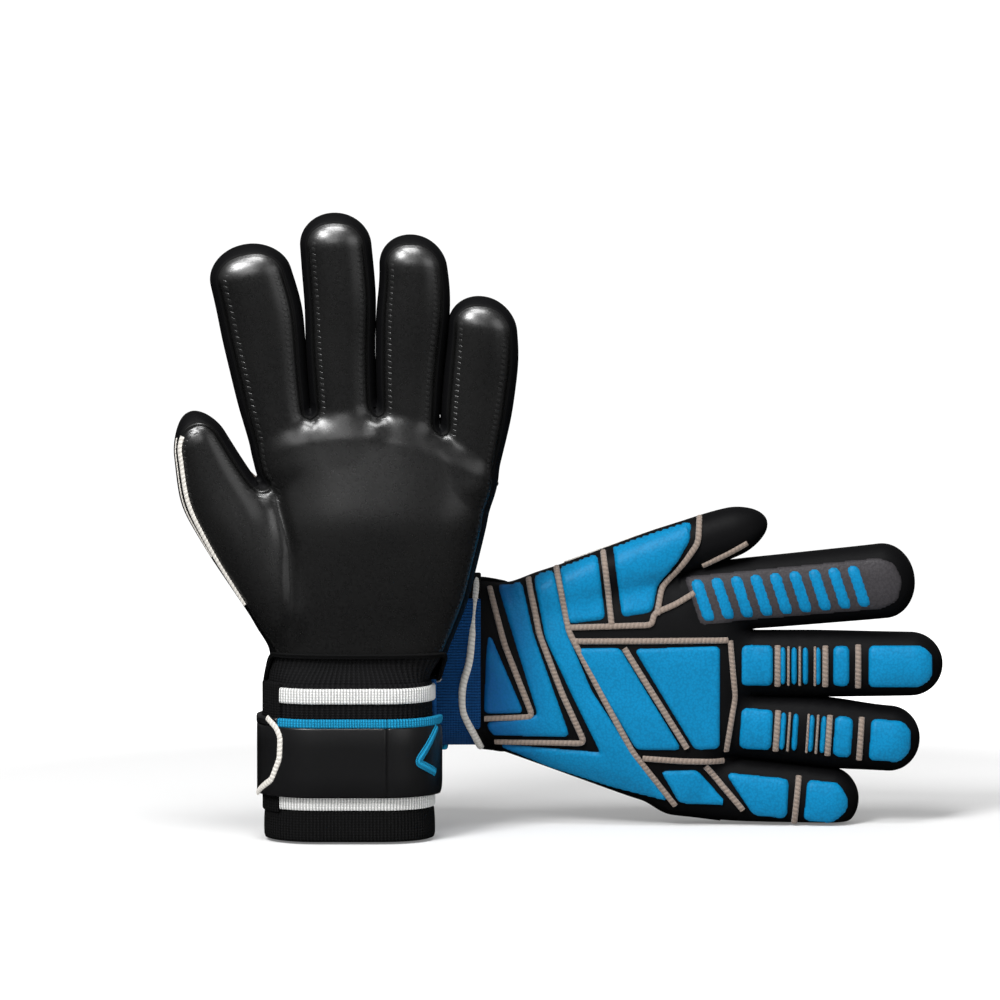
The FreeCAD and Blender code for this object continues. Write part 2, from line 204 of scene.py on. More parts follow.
def bend_line(stations, spread=5.0):
    """A smooth function through (place, value) stations, rounded over about the given spread."""
    places, values = np.array(stations, float).T
    dense = np.arange(places[0] - 40, places[-1] + 40, 1.0)
    raw = np.interp(dense, places, values)
    steps = np.arange(-3 * spread, 3 * spread + 1)
    weights = np.exp(-0.5 * (steps / spread) ** 2)
    padded = np.pad(raw, len(steps) // 2, mode="edge")
    smooth = np.convolve(padded, weights / weights.sum(), mode="valid")
    return lambda place: np.interp(place, dense, smooth[: len(dense)])


# The hand without its thumb: its two edges, its half depth and its top line along the crotches.
THUMB_EDGE = {
    "left": bend_line([(60, -41.5), (70, -41), (84, -37.5), (110, -41.5), (163, -40), (192, -49)]),
    "right": bend_line([(60, -40.5), (70, -40), (84, -36), (120, -40), (163, -40), (192, -47.5)]),
}
LITTLE_EDGE = {
    "left": bend_line([(60, 37.5), (75, 38.5), (108, 52), (145, 61), (160, 63), (190, 69.5)]),
    "right": bend_line([(60, 37.5), (75, 38), (145, 63.5), (192, 73.5)]),
}
TOP_SHIFT = {"left": 0.0, "right": 3.0}  # how far the crotches lie towards the little finger
PALM_DEPTH = bend_line([(60, 18.5), (84, 19.5), (110, 21), (145, 21.8), (185, 16), (200, 15)])
BACK_DEPTH = bend_line([(60, 25.5), (70, 25), (84, 22.5), (100, 21), (150, 20.5), (180, 17), (200, 15)])
TOP_LINE = bend_line([(-55, 186), (-19, 196), (5, 198), (25, 194), (68, 176)], 3.0)
WRIST_BEND = (70.0, 98.0)  # z over which the wrist bends

HAND_POWER = 2.7
HAND_SHOULDER = 15.0

# The padded form of each digit round its CAD axis, by distance s along it, in millimetres: half width,
# and how far its middle lies to the side of the axis. The two gloves lie a little differently.
HALF_WIDTHS = {
    "left_thumb": [(-60, 11), (-27, 15.5), (-6, 18.5), (18, 18), (57, 9)],
    "left_index": [(-10, 15), (43, 19.5), (80, 18)],
    "left_middle": [(-30, 14.5), (57, 16.5), (88, 16)],
    "left_ring": [(-30, 13.5), (0, 14.5), (47, 17), (72, 15)],
    "left_little": [(-24, 12), (10, 16.5), (34, 17), (60, 15)],
    "right_thumb": [(-60, 7), (10, 12), (40, 12), (60, 9.5)],
    "right_index": [(-30, 15), (0, 16.5), (80, 17.5)],
    "right_middle": [(-30, 15), (30, 15.5), (85, 14.5)],
    "right_ring": [(-30, 14), (40, 16.5), (62, 15)],
    "right_little": [(-30, 14.5), (12, 15.5), (63, 14.5)],
}
SHIFTS = {
    "left_thumb": [(-60, 0), (-5, 0), (20, -2.5), (55, 2)],
    "left_index": [(6, -0.5), (48, 2.5), (78, 1)],
    "left_middle": [(-20, 0), (25, -1), (48, 0), (88, -2)],
    "left_ring": [(-20, 0), (20, -0.5), (60, 1), (80, -1.5)],
    "left_little": [(0, 0), (40, 0), (63, -3)],
    "right_thumb": [(-60, 5), (20, 5.5), (60, 4.5)],
    "right_index": [(-20, 1.5), (10, 2.5), (60, 3.5)],
    "right_middle": [(-20, 4), (60, 4.5)],
    "right_ring": [(-20, 3.5), (28, 4), (62, 5.5)],
    "right_little": [(-20, 3.5), (63, 4)],
}
# where the thumb starts to round off, and over what
THUMB_TIP = {"left": (40.5, 15.0), "right": (45.0, 16.5)}
THUMB_DEEP = bend_line([(-70, 16.5), (-40, 18), (-10, 17), (20, 14.5), (60, 12.5)], 6.0)
FINGER_DEEP = bend_line([(-30, 13.8), (0, 13.5), (20, 13.5), (50, 14), (80, 13.8)], 6.0)
THUMB_FREE = (14.0, 21.0)  # the thumb parts from the palm over this stretch
DIGIT_POWER = 2.45


def digit_field(digit, points):
    """Distance to one digit's skin. Its root runs on into the hand."""
    a, y, s = digit.local(points)
    beyond = np.where(s > 0, s - digit.shoulder, -s - digit.root)
    return egg(a - digit.shift(s), y, beyond, digit.width(s), digit.deep(s), digit.reach, DIGIT_POWER)


def palm_field(glove, points):
    x, y, z = points.T
    left, right = THUMB_EDGE[glove.name](z), LITTLE_EDGE[glove.name](z)
    middle, half = (left + right) / 2, (right - left) / 2
    beyond = z - (TOP_LINE(x - TOP_SHIFT[glove.name]) - HAND_SHOULDER)
    depth = np.where(y > 0, BACK_DEPTH(z), PALM_DEPTH(z))
    return egg(x - middle, y, beyond, half, depth, HAND_SHOULDER, HAND_POWER)


def furrow(distance, width):
    return np.exp(-((distance / width) ** 2))


def relief(glove, points):
    """Small sculpted forms: the thumb seam down the palm, and tucks in front of the crotches."""
    x, y, z = points.T
    front = 1 - ease(y, -9.0, -4.0)
    seam = -34.0 + 5.5 * ease(z, 160.0, 130.0) - 0.06 * np.maximum(110.0 - z, 0)
    strength = ease(z, 88.0, 100.0) * (1 - ease(z, 156.0, 164.0))
    depth = 1.3 * furrow(x - seam, 2.6) * strength
    for place in crotches(glove):
        away = np.hypot(x - place[0], z - (place[1] - 7.0))
        depth -= 0.9 * furrow(away, 4.5)
        depth += 0.8 * furrow(np.hypot(x - place[0], z - (place[1] - 1.0)), 3.0)
    return depth * front


def crotches(glove):
    """Where neighbouring digits part, as (x, z)."""
    places = [(-39.6, 163.0)]
    for one, other in zip(FINGERS, FINGERS[1:]):
        a, b = glove.digits[one], glove.digits[other]
        left = a.point(a.half_width, 0, 0)
        right = b.point(-b.half_width, 0, 0)
        places.append(((left[0] + right[0]) / 2, (left[2] + right[2]) / 2))
    return places


def without_thumb(glove, points):
    fingers = np.min([digit_field(glove.digits[name], points) for name in FINGERS], axis=0)
    return smooth_min(palm_field(glove, points), fingers, 5.0)


def hand_field(glove, points):
    """The hand with the roots of all its digits."""
    thumb = glove.digits["thumb"]
    gone = 40.0 * ease(thumb.local(points)[2], *THUMB_FREE)
    field = smooth_min(without_thumb(glove, points), digit_field(thumb, points) + gone, 9.0)
    return field + relief(glove, points)


def part_field(glove, digit, points):
    """The same surface as hand_field, but near one digit only, so that neighbours never fuse."""
    palm, blend = palm_field(glove, points), 5.0
    if digit.name == "thumb":
        palm, blend = palm + 40.0 * ease(digit.local(points)[2], *THUMB_FREE), 9.0
    return smooth_min(palm, digit_field(digit, points), blend) + relief(glove, points)


# ---------------------------------------------------------------- meshes from fields


def surface_nets(field, low, high, step):
    """Vertices and triangles of the field's zero surface, sampled on a grid of this step."""
    low = np.array(low, float)
    count = np.ceil((np.array(high, float) - low) / step).astype(int) + 1
    lines = [low[k] + step * np.arange(count[k]) for k in range(3)]
    points = np.stack(np.meshgrid(*lines, indexing="ij"), -1).reshape(-1, 3)
    value = field(points).reshape(count)
    cells = count - 1
    total, hits = np.zeros((*cells, 3)), np.zeros(cells)
    index = -np.ones(cells, int)
    crossings = []
    for k in range(3):
        here = [slice(None)] * 3
        there = [slice(None)] * 3
        here[k], there[k] = slice(0, -1), slice(1, None)
        a, b = value[tuple(here)], value[tuple(there)]
        cut = (a < 0) != (b < 0)
        spots = np.argwhere(cut)
        share = (a / np.where(cut, a - b, 1.0))[cut]
        where = spots.astype(float)
        where[:, k] += share
        others = [axis for axis in range(3) if axis != k]
        for i in (0, 1):
            for j in (0, 1):
                cell = spots.copy()
                cell[:, others[0]] -= i
                cell[:, others[1]] -= j
                fine = ((cell >= 0) & (cell < cells)).all(1)
                key = tuple(cell[fine].T)
                np.add.at(total, key, where[fine])
                np.add.at(hits, key, 1)
        crossings.append((k, others, spots, a[cut] < 0))
    used = hits > 0
    index[used] = np.arange(used.sum())
    vertices = low + step * total[used] / hits[used][:, None]
    quads = []
    for k, others, spots, rising in crossings:
        fine = (spots[:, others[0]] > 0) & (spots[:, others[1]] > 0)
        fine &= (spots[:, others[0]] < cells[others[0]]) & (spots[:, others[1]] < cells[others[1]])
        spots, rising = spots[fine], rising[fine]
        corner = []
        for i, j in ((0, 0), (1, 0), (1, 1), (0, 1)):
            cell = spots.copy()
            cell[:, others[0]] -= i
            cell[:, others[1]] -= j
            corner.append(index[tuple(cell.T)])
        quad = np.stack(corner, 1)
        flip = rising if k != 1 else ~rising
        quad[flip] = quad[flip][:, ::-1]
        quads.append(quad)
    quads = np.concatenate(quads)
    return vertices, np.concatenate([quads[:, [0, 1, 2]], quads[:, [0, 2, 3]]])


def gradient(field, points, reach=0.2):
    slopes = []
    for k in range(3):
        move = np.zeros(3)
        move[k] = reach
        slopes.append((field(points + move) - field(points - move)) / (2 * reach))
    return np.stack(slopes, 1)


def settle(field, points, limit, rounds=3):
    """Moves points onto the field's zero surface."""
    for _ in range(rounds):
        slope = gradient(field, points)
        size = np.maximum((slope**2).sum(1), 0.05)
        move = -(field(points) / size)[:, None] * slope
        length = np.maximum(np.linalg.norm(move, axis=1), 1e-9)
        points = points + move * np.minimum(1.0, limit / length)[:, None]
    return points


def drop_loose(vertices, faces):
    used = np.unique(faces)
    renumber = -np.ones(len(vertices), int)
    renumber[used] = np.arange(len(used))
    return vertices[used], renumber[faces]


def clip(vertices, faces, value):
    """Keeps where value is below zero. Vertices next to the border are moved onto it first."""
    vertices, level = vertices.copy(), value(vertices)
    sides = np.concatenate([faces[:, [0, 1]], faces[:, [1, 2]], faces[:, [2, 0]]])
    edges = np.unique(np.sort(sides, 1), axis=0)
    crossing = (level[edges[:, 0]] < 0) != (level[edges[:, 1]] < 0)
    pair = edges[crossing]
    share = level[pair[:, 0]] / (level[pair[:, 0]] - level[pair[:, 1]])
    best, goal = np.full(len(vertices), 9.0), vertices.copy()
    for mine, other, part in ((pair[:, 0], pair[:, 1], share), (pair[:, 1], pair[:, 0], 1 - share)):
        near = part <= 0.5
        mine, other, part = mine[near], other[near], part[near]
        order = np.argsort(-part, kind="stable")
        mine, other, part = mine[order], other[order], part[order]
        better = part < best[mine]
        mine, other, part = mine[better], other[better], part[better]
        goal[mine] = vertices[mine] + (vertices[other] - vertices[mine]) * part[:, None]
        best[mine] = part
    moved = best < 9.0
    vertices[moved] = goal[moved]
    level[moved] = 0.0
    keep = (level[faces] <= 1e-9).all(1) & (level[faces] < -1e-9).any(1)
    return drop_loose(vertices, faces[keep])


class Form:
    """A mesh in a glove frame, before it becomes a Blender object. outward is a direction for each vertex
    that its faces must agree with; smooth says whether it is the shading normal too."""

    def __init__(self, vertices, faces, outward, smooth=True, **values):
        self.vertices, self.faces = vertices, [[int(k) for k in face] for face in faces]
        self.outward, self.smooth, self.values = outward, smooth, values
        first = np.array([face[:3] for face in self.faces])
        a, b, c = (vertices[first[:, k]] for k in range(3))
        facing = (np.cross(b - a, c - a) * (outward[first[:, 0]] + outward[first[:, 1]])).sum()
        if facing < 0:
            self.faces = [face[::-1] for face in self.faces]


FLOOR_PRESS = 1.2  # how softly, in millimetres


def make_object(glove, name, form, material):
    """A Blender mesh of a form, placed in the row frame."""
    mesh = bpy.data.meshes.new(name)
    faces = form.faces if glove.side > 0 else [face[::-1] for face in form.faces]
    places = glove.to_row(form.vertices)
    if places[:, 2].min() < -FLOOR_PRESS * MM:
        # a padded piece that lies on the floor is pressed flat by it
        places[:, 2] = (places[:, 2] + np.hypot(places[:, 2], FLOOR_PRESS * MM)) / 2
    mesh.from_pydata(places.tolist(), [], faces)
    mesh.polygons.foreach_set("use_smooth", [True] * len(mesh.polygons))
    if form.smooth:
        turned = (form.outward * np.array([glove.side, 1.0, 1.0])) @ glove.turn
        mesh.normals_split_custom_set_from_vertices(turned.tolist())
    for key, value in form.values.items():
        attribute = mesh.attributes.new(key, "FLOAT", "POINT")
        attribute.data.foreach_set("value", np.asarray(value, np.float32))
    mesh.materials.append(material)
    made = bpy.data.objects.new(f"{glove.name}_{name}", mesh)
    bpy.context.scene.collection.objects.link(made)
    return made


# ---------------------------------------------------------------- materials


class Nodes:
    """A material's node tree, built by short calls."""

    def __init__(self, name):
        self.material = bpy.data.materials.new(name)
        self.material.use_nodes = True
        self.tree = self.material.node_tree
        self.shader = self.tree.nodes["Principled BSDF"]

    def add(self, kind, inputs=(), **settings):
        node = self.tree.nodes.new(kind)
        for key, value in settings.items():
            setattr(node, key, value)
        for key, value in dict(inputs).items():
            self.plug(node.inputs[key], value)
        return node

    def plug(self, socket, value):
        if hasattr(value, "is_output"):
            self.tree.links.new(value, socket)
        else:
            socket.default_value = value

    def math(self, operation, *values):
        node = self.add("ShaderNodeMath", operation=operation)
        for k, value in enumerate(values):
            self.plug(node.inputs[k], value)
        return node.outputs[0]

    def value(self, name):
        return self.add("ShaderNodeAttribute", attribute_name=name).outputs["Fac"]

    def place(self):
        return self.add("ShaderNodeTexCoord").outputs["Object"]

    def noise(self, scale, detail=3.0, vector=None, rough=0.5):
        inputs = {"Scale": scale, "Detail": detail, "Roughness": rough}
        inputs["Vector"] = vector if vector is not None else self.place()
        return self.add("ShaderNodeTexNoise", inputs).outputs["Fac"]

    def ramp(self, factor, low, high):
        """0 to 1 as factor goes from low to high, eased."""
        inputs = {"Value": factor, "From Min": low, "From Max": high}
        return self.add("ShaderNodeMapRange", inputs, interpolation_type="SMOOTHSTEP").outputs[0]

    def mix(self, factor, a, b):
        node = self.add("ShaderNodeMix", data_type="RGBA")
        self.plug(node.inputs[0], factor)
        for socket, value in ((node.inputs[6], a), (node.inputs[7], b)):
            self.plug(socket, value if hasattr(value, "is_output") else (*value, 1.0))
        return node.outputs[2]

    def bump(self, height, distance, strength=1.0, normal=None):
        inputs = {"Height": height, "Distance": distance, "Strength": strength}
        if normal is not None:
            inputs["Normal"] = normal
        return self.add("ShaderNodeBump", inputs).outputs[0]

    def finish(self, color, roughness, normal=None, **extra):
        self.plug(self.shader.inputs["Base Color"], color if hasattr(color, "is_output") else (*color, 1.0))
        self.plug(self.shader.inputs["Roughness"], roughness)
        if normal is not None:
            self.plug(self.shader.inputs["Normal"], normal)
        for key, value in extra.items():
            self.plug(self.shader.inputs[key.replace("_", " ")], value)
        return self.material


BLACK = (0.0025, 0.0025, 0.003)
CHARCOAL = (0.0055, 0.0055, 0.0055)
BLUE = (0.0005, 0.19, 0.4)
DEEP_BLUE = (0.004, 0.085, 0.27)
TAN = (0.24, 0.185, 0.15)
GRAPHITE = (0.045, 0.042, 0.046)
PALE_GREY = (0.66, 0.63, 0.58)
WHITE = (0.82, 0.82, 0.8)
FLOOR = (0.66, 0.66, 0.66)


def skin_material():
    """Latex on the palm, and matt black cloth beyond the seam. front is the distance in front of
    the palm's seam line, in millimetres."""
    n = Nodes("glove_skin")
    front = n.value("front")
    palm = n.ramp(front, -0.25, 0.25)
    pores = n.noise(2600.0, 2.0)
    grain = n.noise(700.0, 4.0)
    cloudy = n.noise(28.0, 3.0)
    # the latex is painted a little lighter in random cloudy patches
    cloud_mottle = n.math("MULTIPLY", n.ramp(cloudy, 0.42, 0.72), 0.6)
    latex = n.mix(cloud_mottle, CHARCOAL, (0.0095, 0.0095, 0.0092))
    latex = n.mix(n.ramp(grain, 0.35, 0.75), latex, (0.0075, 0.0075, 0.0075))
    groove = n.math("ABSOLUTE", front)
    in_groove = n.math("SUBTRACT", 1.0, n.ramp(groove, 0.2, 1.1))
    stitch = n.math("SINE", n.math("MULTIPLY", n.value("along"), 2.4))
    thread = n.math("MULTIPLY", n.ramp(stitch, -0.35, 0.1), n.math("SUBTRACT", 1.0, n.ramp(n.math(
        "ABSOLUTE", n.math("SUBTRACT", front, 1.9)), 0.25, 0.55)))
    color = n.mix(palm, BLACK, latex)
    # painted shade: the seam groove is painted darker than the latex and the cloth on either side of it
    color = n.mix(in_groove, color, (0.002, 0.002, 0.002))
    color = n.mix(thread, color, (0.012, 0.012, 0.012))
    height = n.math("MULTIPLY", pores, 0.35)
    height = n.math("ADD", height, n.math("MULTIPLY", grain, 0.65))
    low = n.bump(height, 0.00005, 0.5)
    seam = n.math("ADD", n.math("MULTIPLY", in_groove, -1.0), n.math("MULTIPLY", thread, 0.2))
    normal = n.bump(seam, 0.0005, 0.7, low)
    rough = n.math("ADD", 0.25, n.math("MULTIPLY", grain, 0.06))
    rough = n.math("ADD", rough, n.math("MULTIPLY", n.math("SUBTRACT", 1.0, palm), 0.35))
    shine = n.math("ADD", 0.12, n.math("MULTIPLY", palm, 0.55))
    # the latex is rubbed smooth at the digits' ends
    polish = n.math("MULTIPLY", n.math("MULTIPLY", n.value("polish"), palm), 0.42)
    rough = n.math("SUBTRACT", rough, n.math("MULTIPLY", polish, 0.02))
    return n.finish(color, rough, normal, Specular_IOR_Level=shine, Coat_Weight=polish, Coat_IOR=2.2,
                    Coat_Roughness=0.34)


def pad_material(name, base, deep, fade):
    """Satin padded cloth with a fine mesh weave. fade gives the z where it darkens to deep."""
    n = Nodes(name)
    place = n.place()
    weave = n.add("ShaderNodeTexVoronoi", {"Scale": 900.0, "Vector": place}, feature="F1").outputs["Distance"]
    cloudy = n.noise(45.0, 3.0)
    color = n.mix(n.ramp(n.value("height"), fade[0], fade[1]), deep, base)
    bright = tuple(c * 1.25 for c in base)
    color = n.mix(n.math("MULTIPLY", n.ramp(cloudy, 0.4, 0.75), 0.35), color, bright)
    dark = tuple(c * 0.45 for c in base)
    color = n.mix(n.math("MULTIPLY", n.ramp(weave, 0.35, 0.75), 0.3), color, dark)
    # painted shade: the rim of each cushion, where it sinks into the seam round it, is painted dark
    edge = n.ramp(n.value("lift"), -0.8, 0.7)
    color = n.mix(edge, tuple(c * 0.25 for c in deep), color)
    normal = n.bump(weave, 0.0003, 0.35)
    normal = n.bump(cloudy, 0.002, 0.25, normal)
    rough = n.math("ADD", 0.36, n.math("MULTIPLY", cloudy, 0.2))
    return n.finish(color, rough, normal, Specular_IOR_Level=0.12)


def cord_material(name, base):
    """Twisted cord: along runs down the cord, around goes once round it."""
    n = Nodes(name)
    twist = n.math("SINE", n.math("ADD", n.math("MULTIPLY", n.value("along"), 3.2), n.value("around")))
    fuzz = n.noise(1800.0, 3.0)
    # painted shade: the grooves of the twist, where the bump is low, are painted darker
    dark = tuple(c * 0.72 for c in base)
    color = n.mix(n.ramp(twist, -0.9, 0.2), dark, base)
    color = n.mix(n.math("MULTIPLY", fuzz, 0.35), color, tuple(min(1.0, c * 1.3) for c in base))
    normal = n.bump(n.math("ADD", twist, n.math("MULTIPLY", fuzz, 0.8)), 0.00014, 0.7)
    return n.finish(color, 0.72, normal, Sheen_Weight=0.2)


def knit_material(name, base, pitch=2.4):
    """Ribbed elastic knit. around is the distance round the cuff, height the distance up it."""
    n = Nodes(name)
    around, height = n.value("around"), n.value("height")
    rib = n.math("SINE", n.math("MULTIPLY", around, 2 * math.pi / pitch))
    lean = n.math("MULTIPLY", n.math("ABSOLUTE", rib), 2.0)
    loop = n.math("SINE", n.math("ADD", n.math("MULTIPLY", height, 5.2), lean))
    fuzz = n.noise(1500.0, 3.0)
    # painted shade: the valleys between the ribs, where the bump is low, are painted darker
    color = n.mix(n.ramp(rib, -1.0, 0.6), tuple(c * 0.4 for c in base), base)
    color = n.mix(n.math("MULTIPLY", fuzz, 0.4), color, tuple(min(1.0, c * 1.5) for c in base))
    height_map = n.math("ADD", n.math("MULTIPLY", rib, 0.8), n.math("MULTIPLY", loop, 0.25))
    height_map = n.math("ADD", height_map, n.math("MULTIPLY", fuzz, 0.3))
    normal = n.bump(height_map, 0.0005, 0.8)
    return n.finish(color, 0.82, normal, Specular_IOR_Level=0.1)


def strap_material():
    """Smooth coated fabric with a faint grain."""
    n = Nodes("strap_coated")
    grain = n.noise(1300.0, 3.0)
    cloudy = n.noise(30.0, 2.0)
    color = n.mix(cloudy, (0.004, 0.004, 0.0045), (0.008, 0.008, 0.0085))
    rough = n.math("ADD", 0.28, n.math("MULTIPLY", grain, 0.1))
    return n.finish(color, rough, n.bump(grain, 0.00004, 0.5), Specular_IOR_Level=0.5)


def tape_material(name, hooks):
    n = Nodes(name)
    if hooks:
        pile = n.add("ShaderNodeTexVoronoi", {"Scale": 1100.0, "Vector": n.place()}).outputs["Distance"]
    else:
        pile = n.noise(2200.0, 5.0)
    # painted shade: the pile is painted darker where its bump is low
    color = n.mix(n.ramp(pile, 0.2, 0.7), (0.004, 0.004, 0.004), (0.028, 0.028, 0.03))
    return n.finish(color, 0.85, n.bump(pile, 0.0008, 0.9), Sheen_Weight=0.4)


# ---------------------------------------------------------------- parts across the joints


class Part:
    """A stretch of a glove that spans one joint.

    Its pieces lie on field, where level is below zero."""

    def __init__(self, glove, name, field, level, bodies, low, high):
        self.glove, self.name, self.field, self.level = glove, name, field, level
        self.bodies = [glove.body(body) for body in bodies]
        self.low, self.high = glove.to_row([low, high])

    def attach(self, piece, slot, *nodes):
        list(self.bodies)
        tuple(self.low)
        tuple(self.high)
        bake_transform(piece)
        if nodes:
            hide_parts(*[f"{self.glove.name}_{node}" for node in nodes])
        return piece


def hand_level(glove, points):
    """Below zero on the hand and above zero on any digit past its start."""
    fields = np.stack([digit_field(glove.digits[name], points) for name in FINGERS])
    lengths = np.stack([glove.digits[name].local(points)[2] for name in FINGERS])
    nearest = fields.argmin(0)
    level = lengths[nearest, np.arange(len(points))]
    thumb = glove.digits["thumb"]
    s = thumb.local(points)[2]
    thumb_level = np.minimum(s - thumb.start, without_thumb(glove, points) - digit_field(thumb, points))
    return np.maximum(level, np.minimum(thumb_level, THUMB_FREE[1] - s))


def thumb_side(glove, points):
    """Below zero on the thumb's side of the crease between it and the palm."""
    thumb = glove.digits["thumb"]
    crease = digit_field(thumb, points) - palm_field(glove, points) - 0.5
    return np.minimum(crease, THUMB_FREE[1] - thumb.local(points)[2])


def make_parts(glove):
    parts = {
        "hand": Part(glove, "hand", lambda p: hand_field(glove, p), lambda p: hand_level(glove, p),
                     ("cuff", "hand"), (0, 0, WRIST_BEND[0]), (0, 0, WRIST_BEND[1]))
    }
    for name, digit in glove.digits.items():

        def field(p, digit=digit):
            return part_field(glove, digit, p)

        def base_level(p, digit=digit):
            s = digit.local(p)[2]
            level = np.maximum(digit.start - s, s - digit.middle)
            if digit.name == "thumb":
                level = np.maximum(level, thumb_side(glove, p))
            return level

        def tip_level(p, digit=digit):
            return digit.middle - digit.local(p)[2]

        spots = [digit.point(0, 0, s) for s in (digit.start, digit.middle, digit.end)]
        parts[name + "_base"] = Part(glove, name + "_base", field, base_level, ("hand", name + "_base"),
                                     spots[0], spots[1])
        parts[name + "_tip"] = Part(glove, name + "_tip", field, tip_level, (name + "_base", name + "_tip"),
                                    spots[1], spots[2])
    return parts


# ---------------------------------------------------------------- skin

SEAM_Y = -10.0  # the palm latex ends here, in front of the digits' flanks
WRIST_LINE = bend_line([(-60, 71), (-36, 69), (-3, 66), (8, 62.5), (20, 62.5), (37, 71), (60, 78)], 3.0)
PALM_HEM = 84.0


def seam_distance(points):
    return SEAM_Y - points[:, 1]


def run_along(points):
    return points[:, 2] + 0.35 * points[:, 0]


def hem_height(x, y):
    """Height of the skin's lower edge: straight on the palm, dipping to one side on the back."""
    return PALM_HEM + (WRIST_LINE(x) - PALM_HEM) * ease(y, -10.0, 8.0)


def hem_level(points):
    return hem_height(points[:, 0], points[:, 1]) - points[:, 2]


def skin_form(part, vertices, faces, polish=0.0):
    slope = gradient(part.field, vertices)
    normals = slope / np.maximum(np.linalg.norm(slope, axis=1), 1e-9)[:, None]
    return Form(vertices, faces, normals, front=seam_distance(vertices), along=run_along(vertices),
                polish=polish + 0 * vertices[:, 0])


def make_skin(glove, parts, material):
    part = parts["hand"]
    vertices, faces = surface_nets(part.field, (-86.0, -28.0, 60.0), (76.0, 28.0, 204.0), GRID)
    vertices = settle(part.field, vertices, GRID)
    for level in (part.level, hem_level):
        vertices, faces = clip(vertices, faces, level)
    piece = make_object(glove, "hand_skin", skin_form(part, vertices, faces), material)
    part.attach(piece, "palm_latex", "palm", "backhand")
    for digit in glove.digits.values():
        make_digit_skin(glove, parts, digit, material)


def make_digit_skin(glove, parts, digit, material):
    reach = digit.half_width + 9.0
    corners = np.array([digit.point(a, y, s) for a in (-reach, reach) for y in (-22.0, 22.0)
                        for s in (digit.start - 5.0, digit.length + 7.0)])
    field = parts[digit.name + "_base"].field
    vertices, faces = surface_nets(field, corners.min(0), corners.max(0), GRID)
    a, _, s = digit.local(vertices)
    near = (np.abs(a) < reach) & (s > digit.start - 4.0)
    vertices, faces = drop_loose(vertices, faces[near[faces].all(1)])
    if digit.name == "thumb":
        vertices, faces = clip(vertices, faces, lambda p: thumb_side(glove, p))
    vertices = settle(field, vertices, GRID)
    for end in ("base", "tip"):
        part = parts[f"{digit.name}_{end}"]
        cut, sides = clip(vertices, faces, part.level)
        end_of_digit = digit.shoulder + digit.reach
        rubbed = ease(digit.local(cut)[2], end_of_digit - 18.0, end_of_digit - 10.0) * (digit.name != "thumb")
        form = skin_form(part, cut, sides, rubbed)
        piece = make_object(glove, f"{digit.name}_skin_{end}", form, material)
        nodes = [f"{digit.name}_grip_{end}"]
        if digit.name in ("thumb", "index"):
            nodes.append(f"{digit.name}_back_{end}")
        part.attach(piece, "rolled_latex", *nodes)


# ---------------------------------------------------------------- raised pads on the back

PAD_HEIGHT = 2.1
PANEL_HEIGHT = 1.1  # the same for the flat panel on the index finger
PAD_ROUND = 2.6
PAD_SUNK = 0.5
SIDE_LIMIT = 5.5  # pads end where the back turns into the flank


def round_outline(corners, step=1.0, passes=4):
    """A closed outline as a dense line with its corners rounded off a little."""
    line = np.array(list(corners) + [corners[0]], float)
    run = np.concatenate([[0], np.cumsum(np.linalg.norm(np.diff(line, axis=0), axis=1))])
    places = np.arange(0, run[-1], run[-1] / max(12, int(run[-1] / step)))
    points = np.stack([np.interp(places, run, line[:, k]) for k in (0, 1)], 1)
    for _ in range(passes):
        points = (np.roll(points, 1, 0) + 2 * points + np.roll(points, -1, 0)) / 4
    return points


PAD_GROW = 0.9


def outline_depth(line, points):
    """Distance inside a dense closed line let out by PAD_GROW, in the plane of the back; negative outside."""
    x, z = points[:, 0], points[:, 2]
    after = np.roll(line, -1, 0)
    nearest, inside = np.full(len(x), 1e9), np.zeros(len(x), bool)
    for (x0, z0), (x1, z1) in zip(line, after):
        dx, dz = x1 - x0, z1 - z0
        t = np.clip(((x - x0) * dx + (z - z0) * dz) / (dx * dx + dz * dz), 0.0, 1.0)
        nearest = np.minimum(nearest, (x - x0 - t * dx) ** 2 + (z - z0 - t * dz) ** 2)
        if dz:
            inside ^= ((z0 > z) != (z1 > z)) & (x < x0 + dx * (z - z0) / dz)
    return np.where(inside, 1.0, -1.0) * np.sqrt(nearest) + PAD_GROW


def side_depth(part, points):
    """Distance inside the part's flanks, in the plane where pads have to stop."""
    flat = points.copy()
    flat[:, 1] = SIDE_LIMIT
    return -part.field(flat)


def fall(field, points, direction=(0.0, -1.0, 0.0), rounds=16):
    """Moves points along a direction until they reach the field's surface."""
    points, direction = points.copy(), np.array(direction, float)
    for _ in range(rounds):
        points += np.maximum(field(points), -4.0)[:, None] * direction * 0.95
    for _ in range(3):
        value = field(points)
        rate = (field(points + direction * 0.2) - value) / 0.2
        step = np.clip(-value / np.minimum(rate, -0.25), -1.0, 1.0)
        points += step[:, None] * direction
    return points


LEAST_FACES = 12  # a smaller piece of a cushion is a sliver at the edge of a part


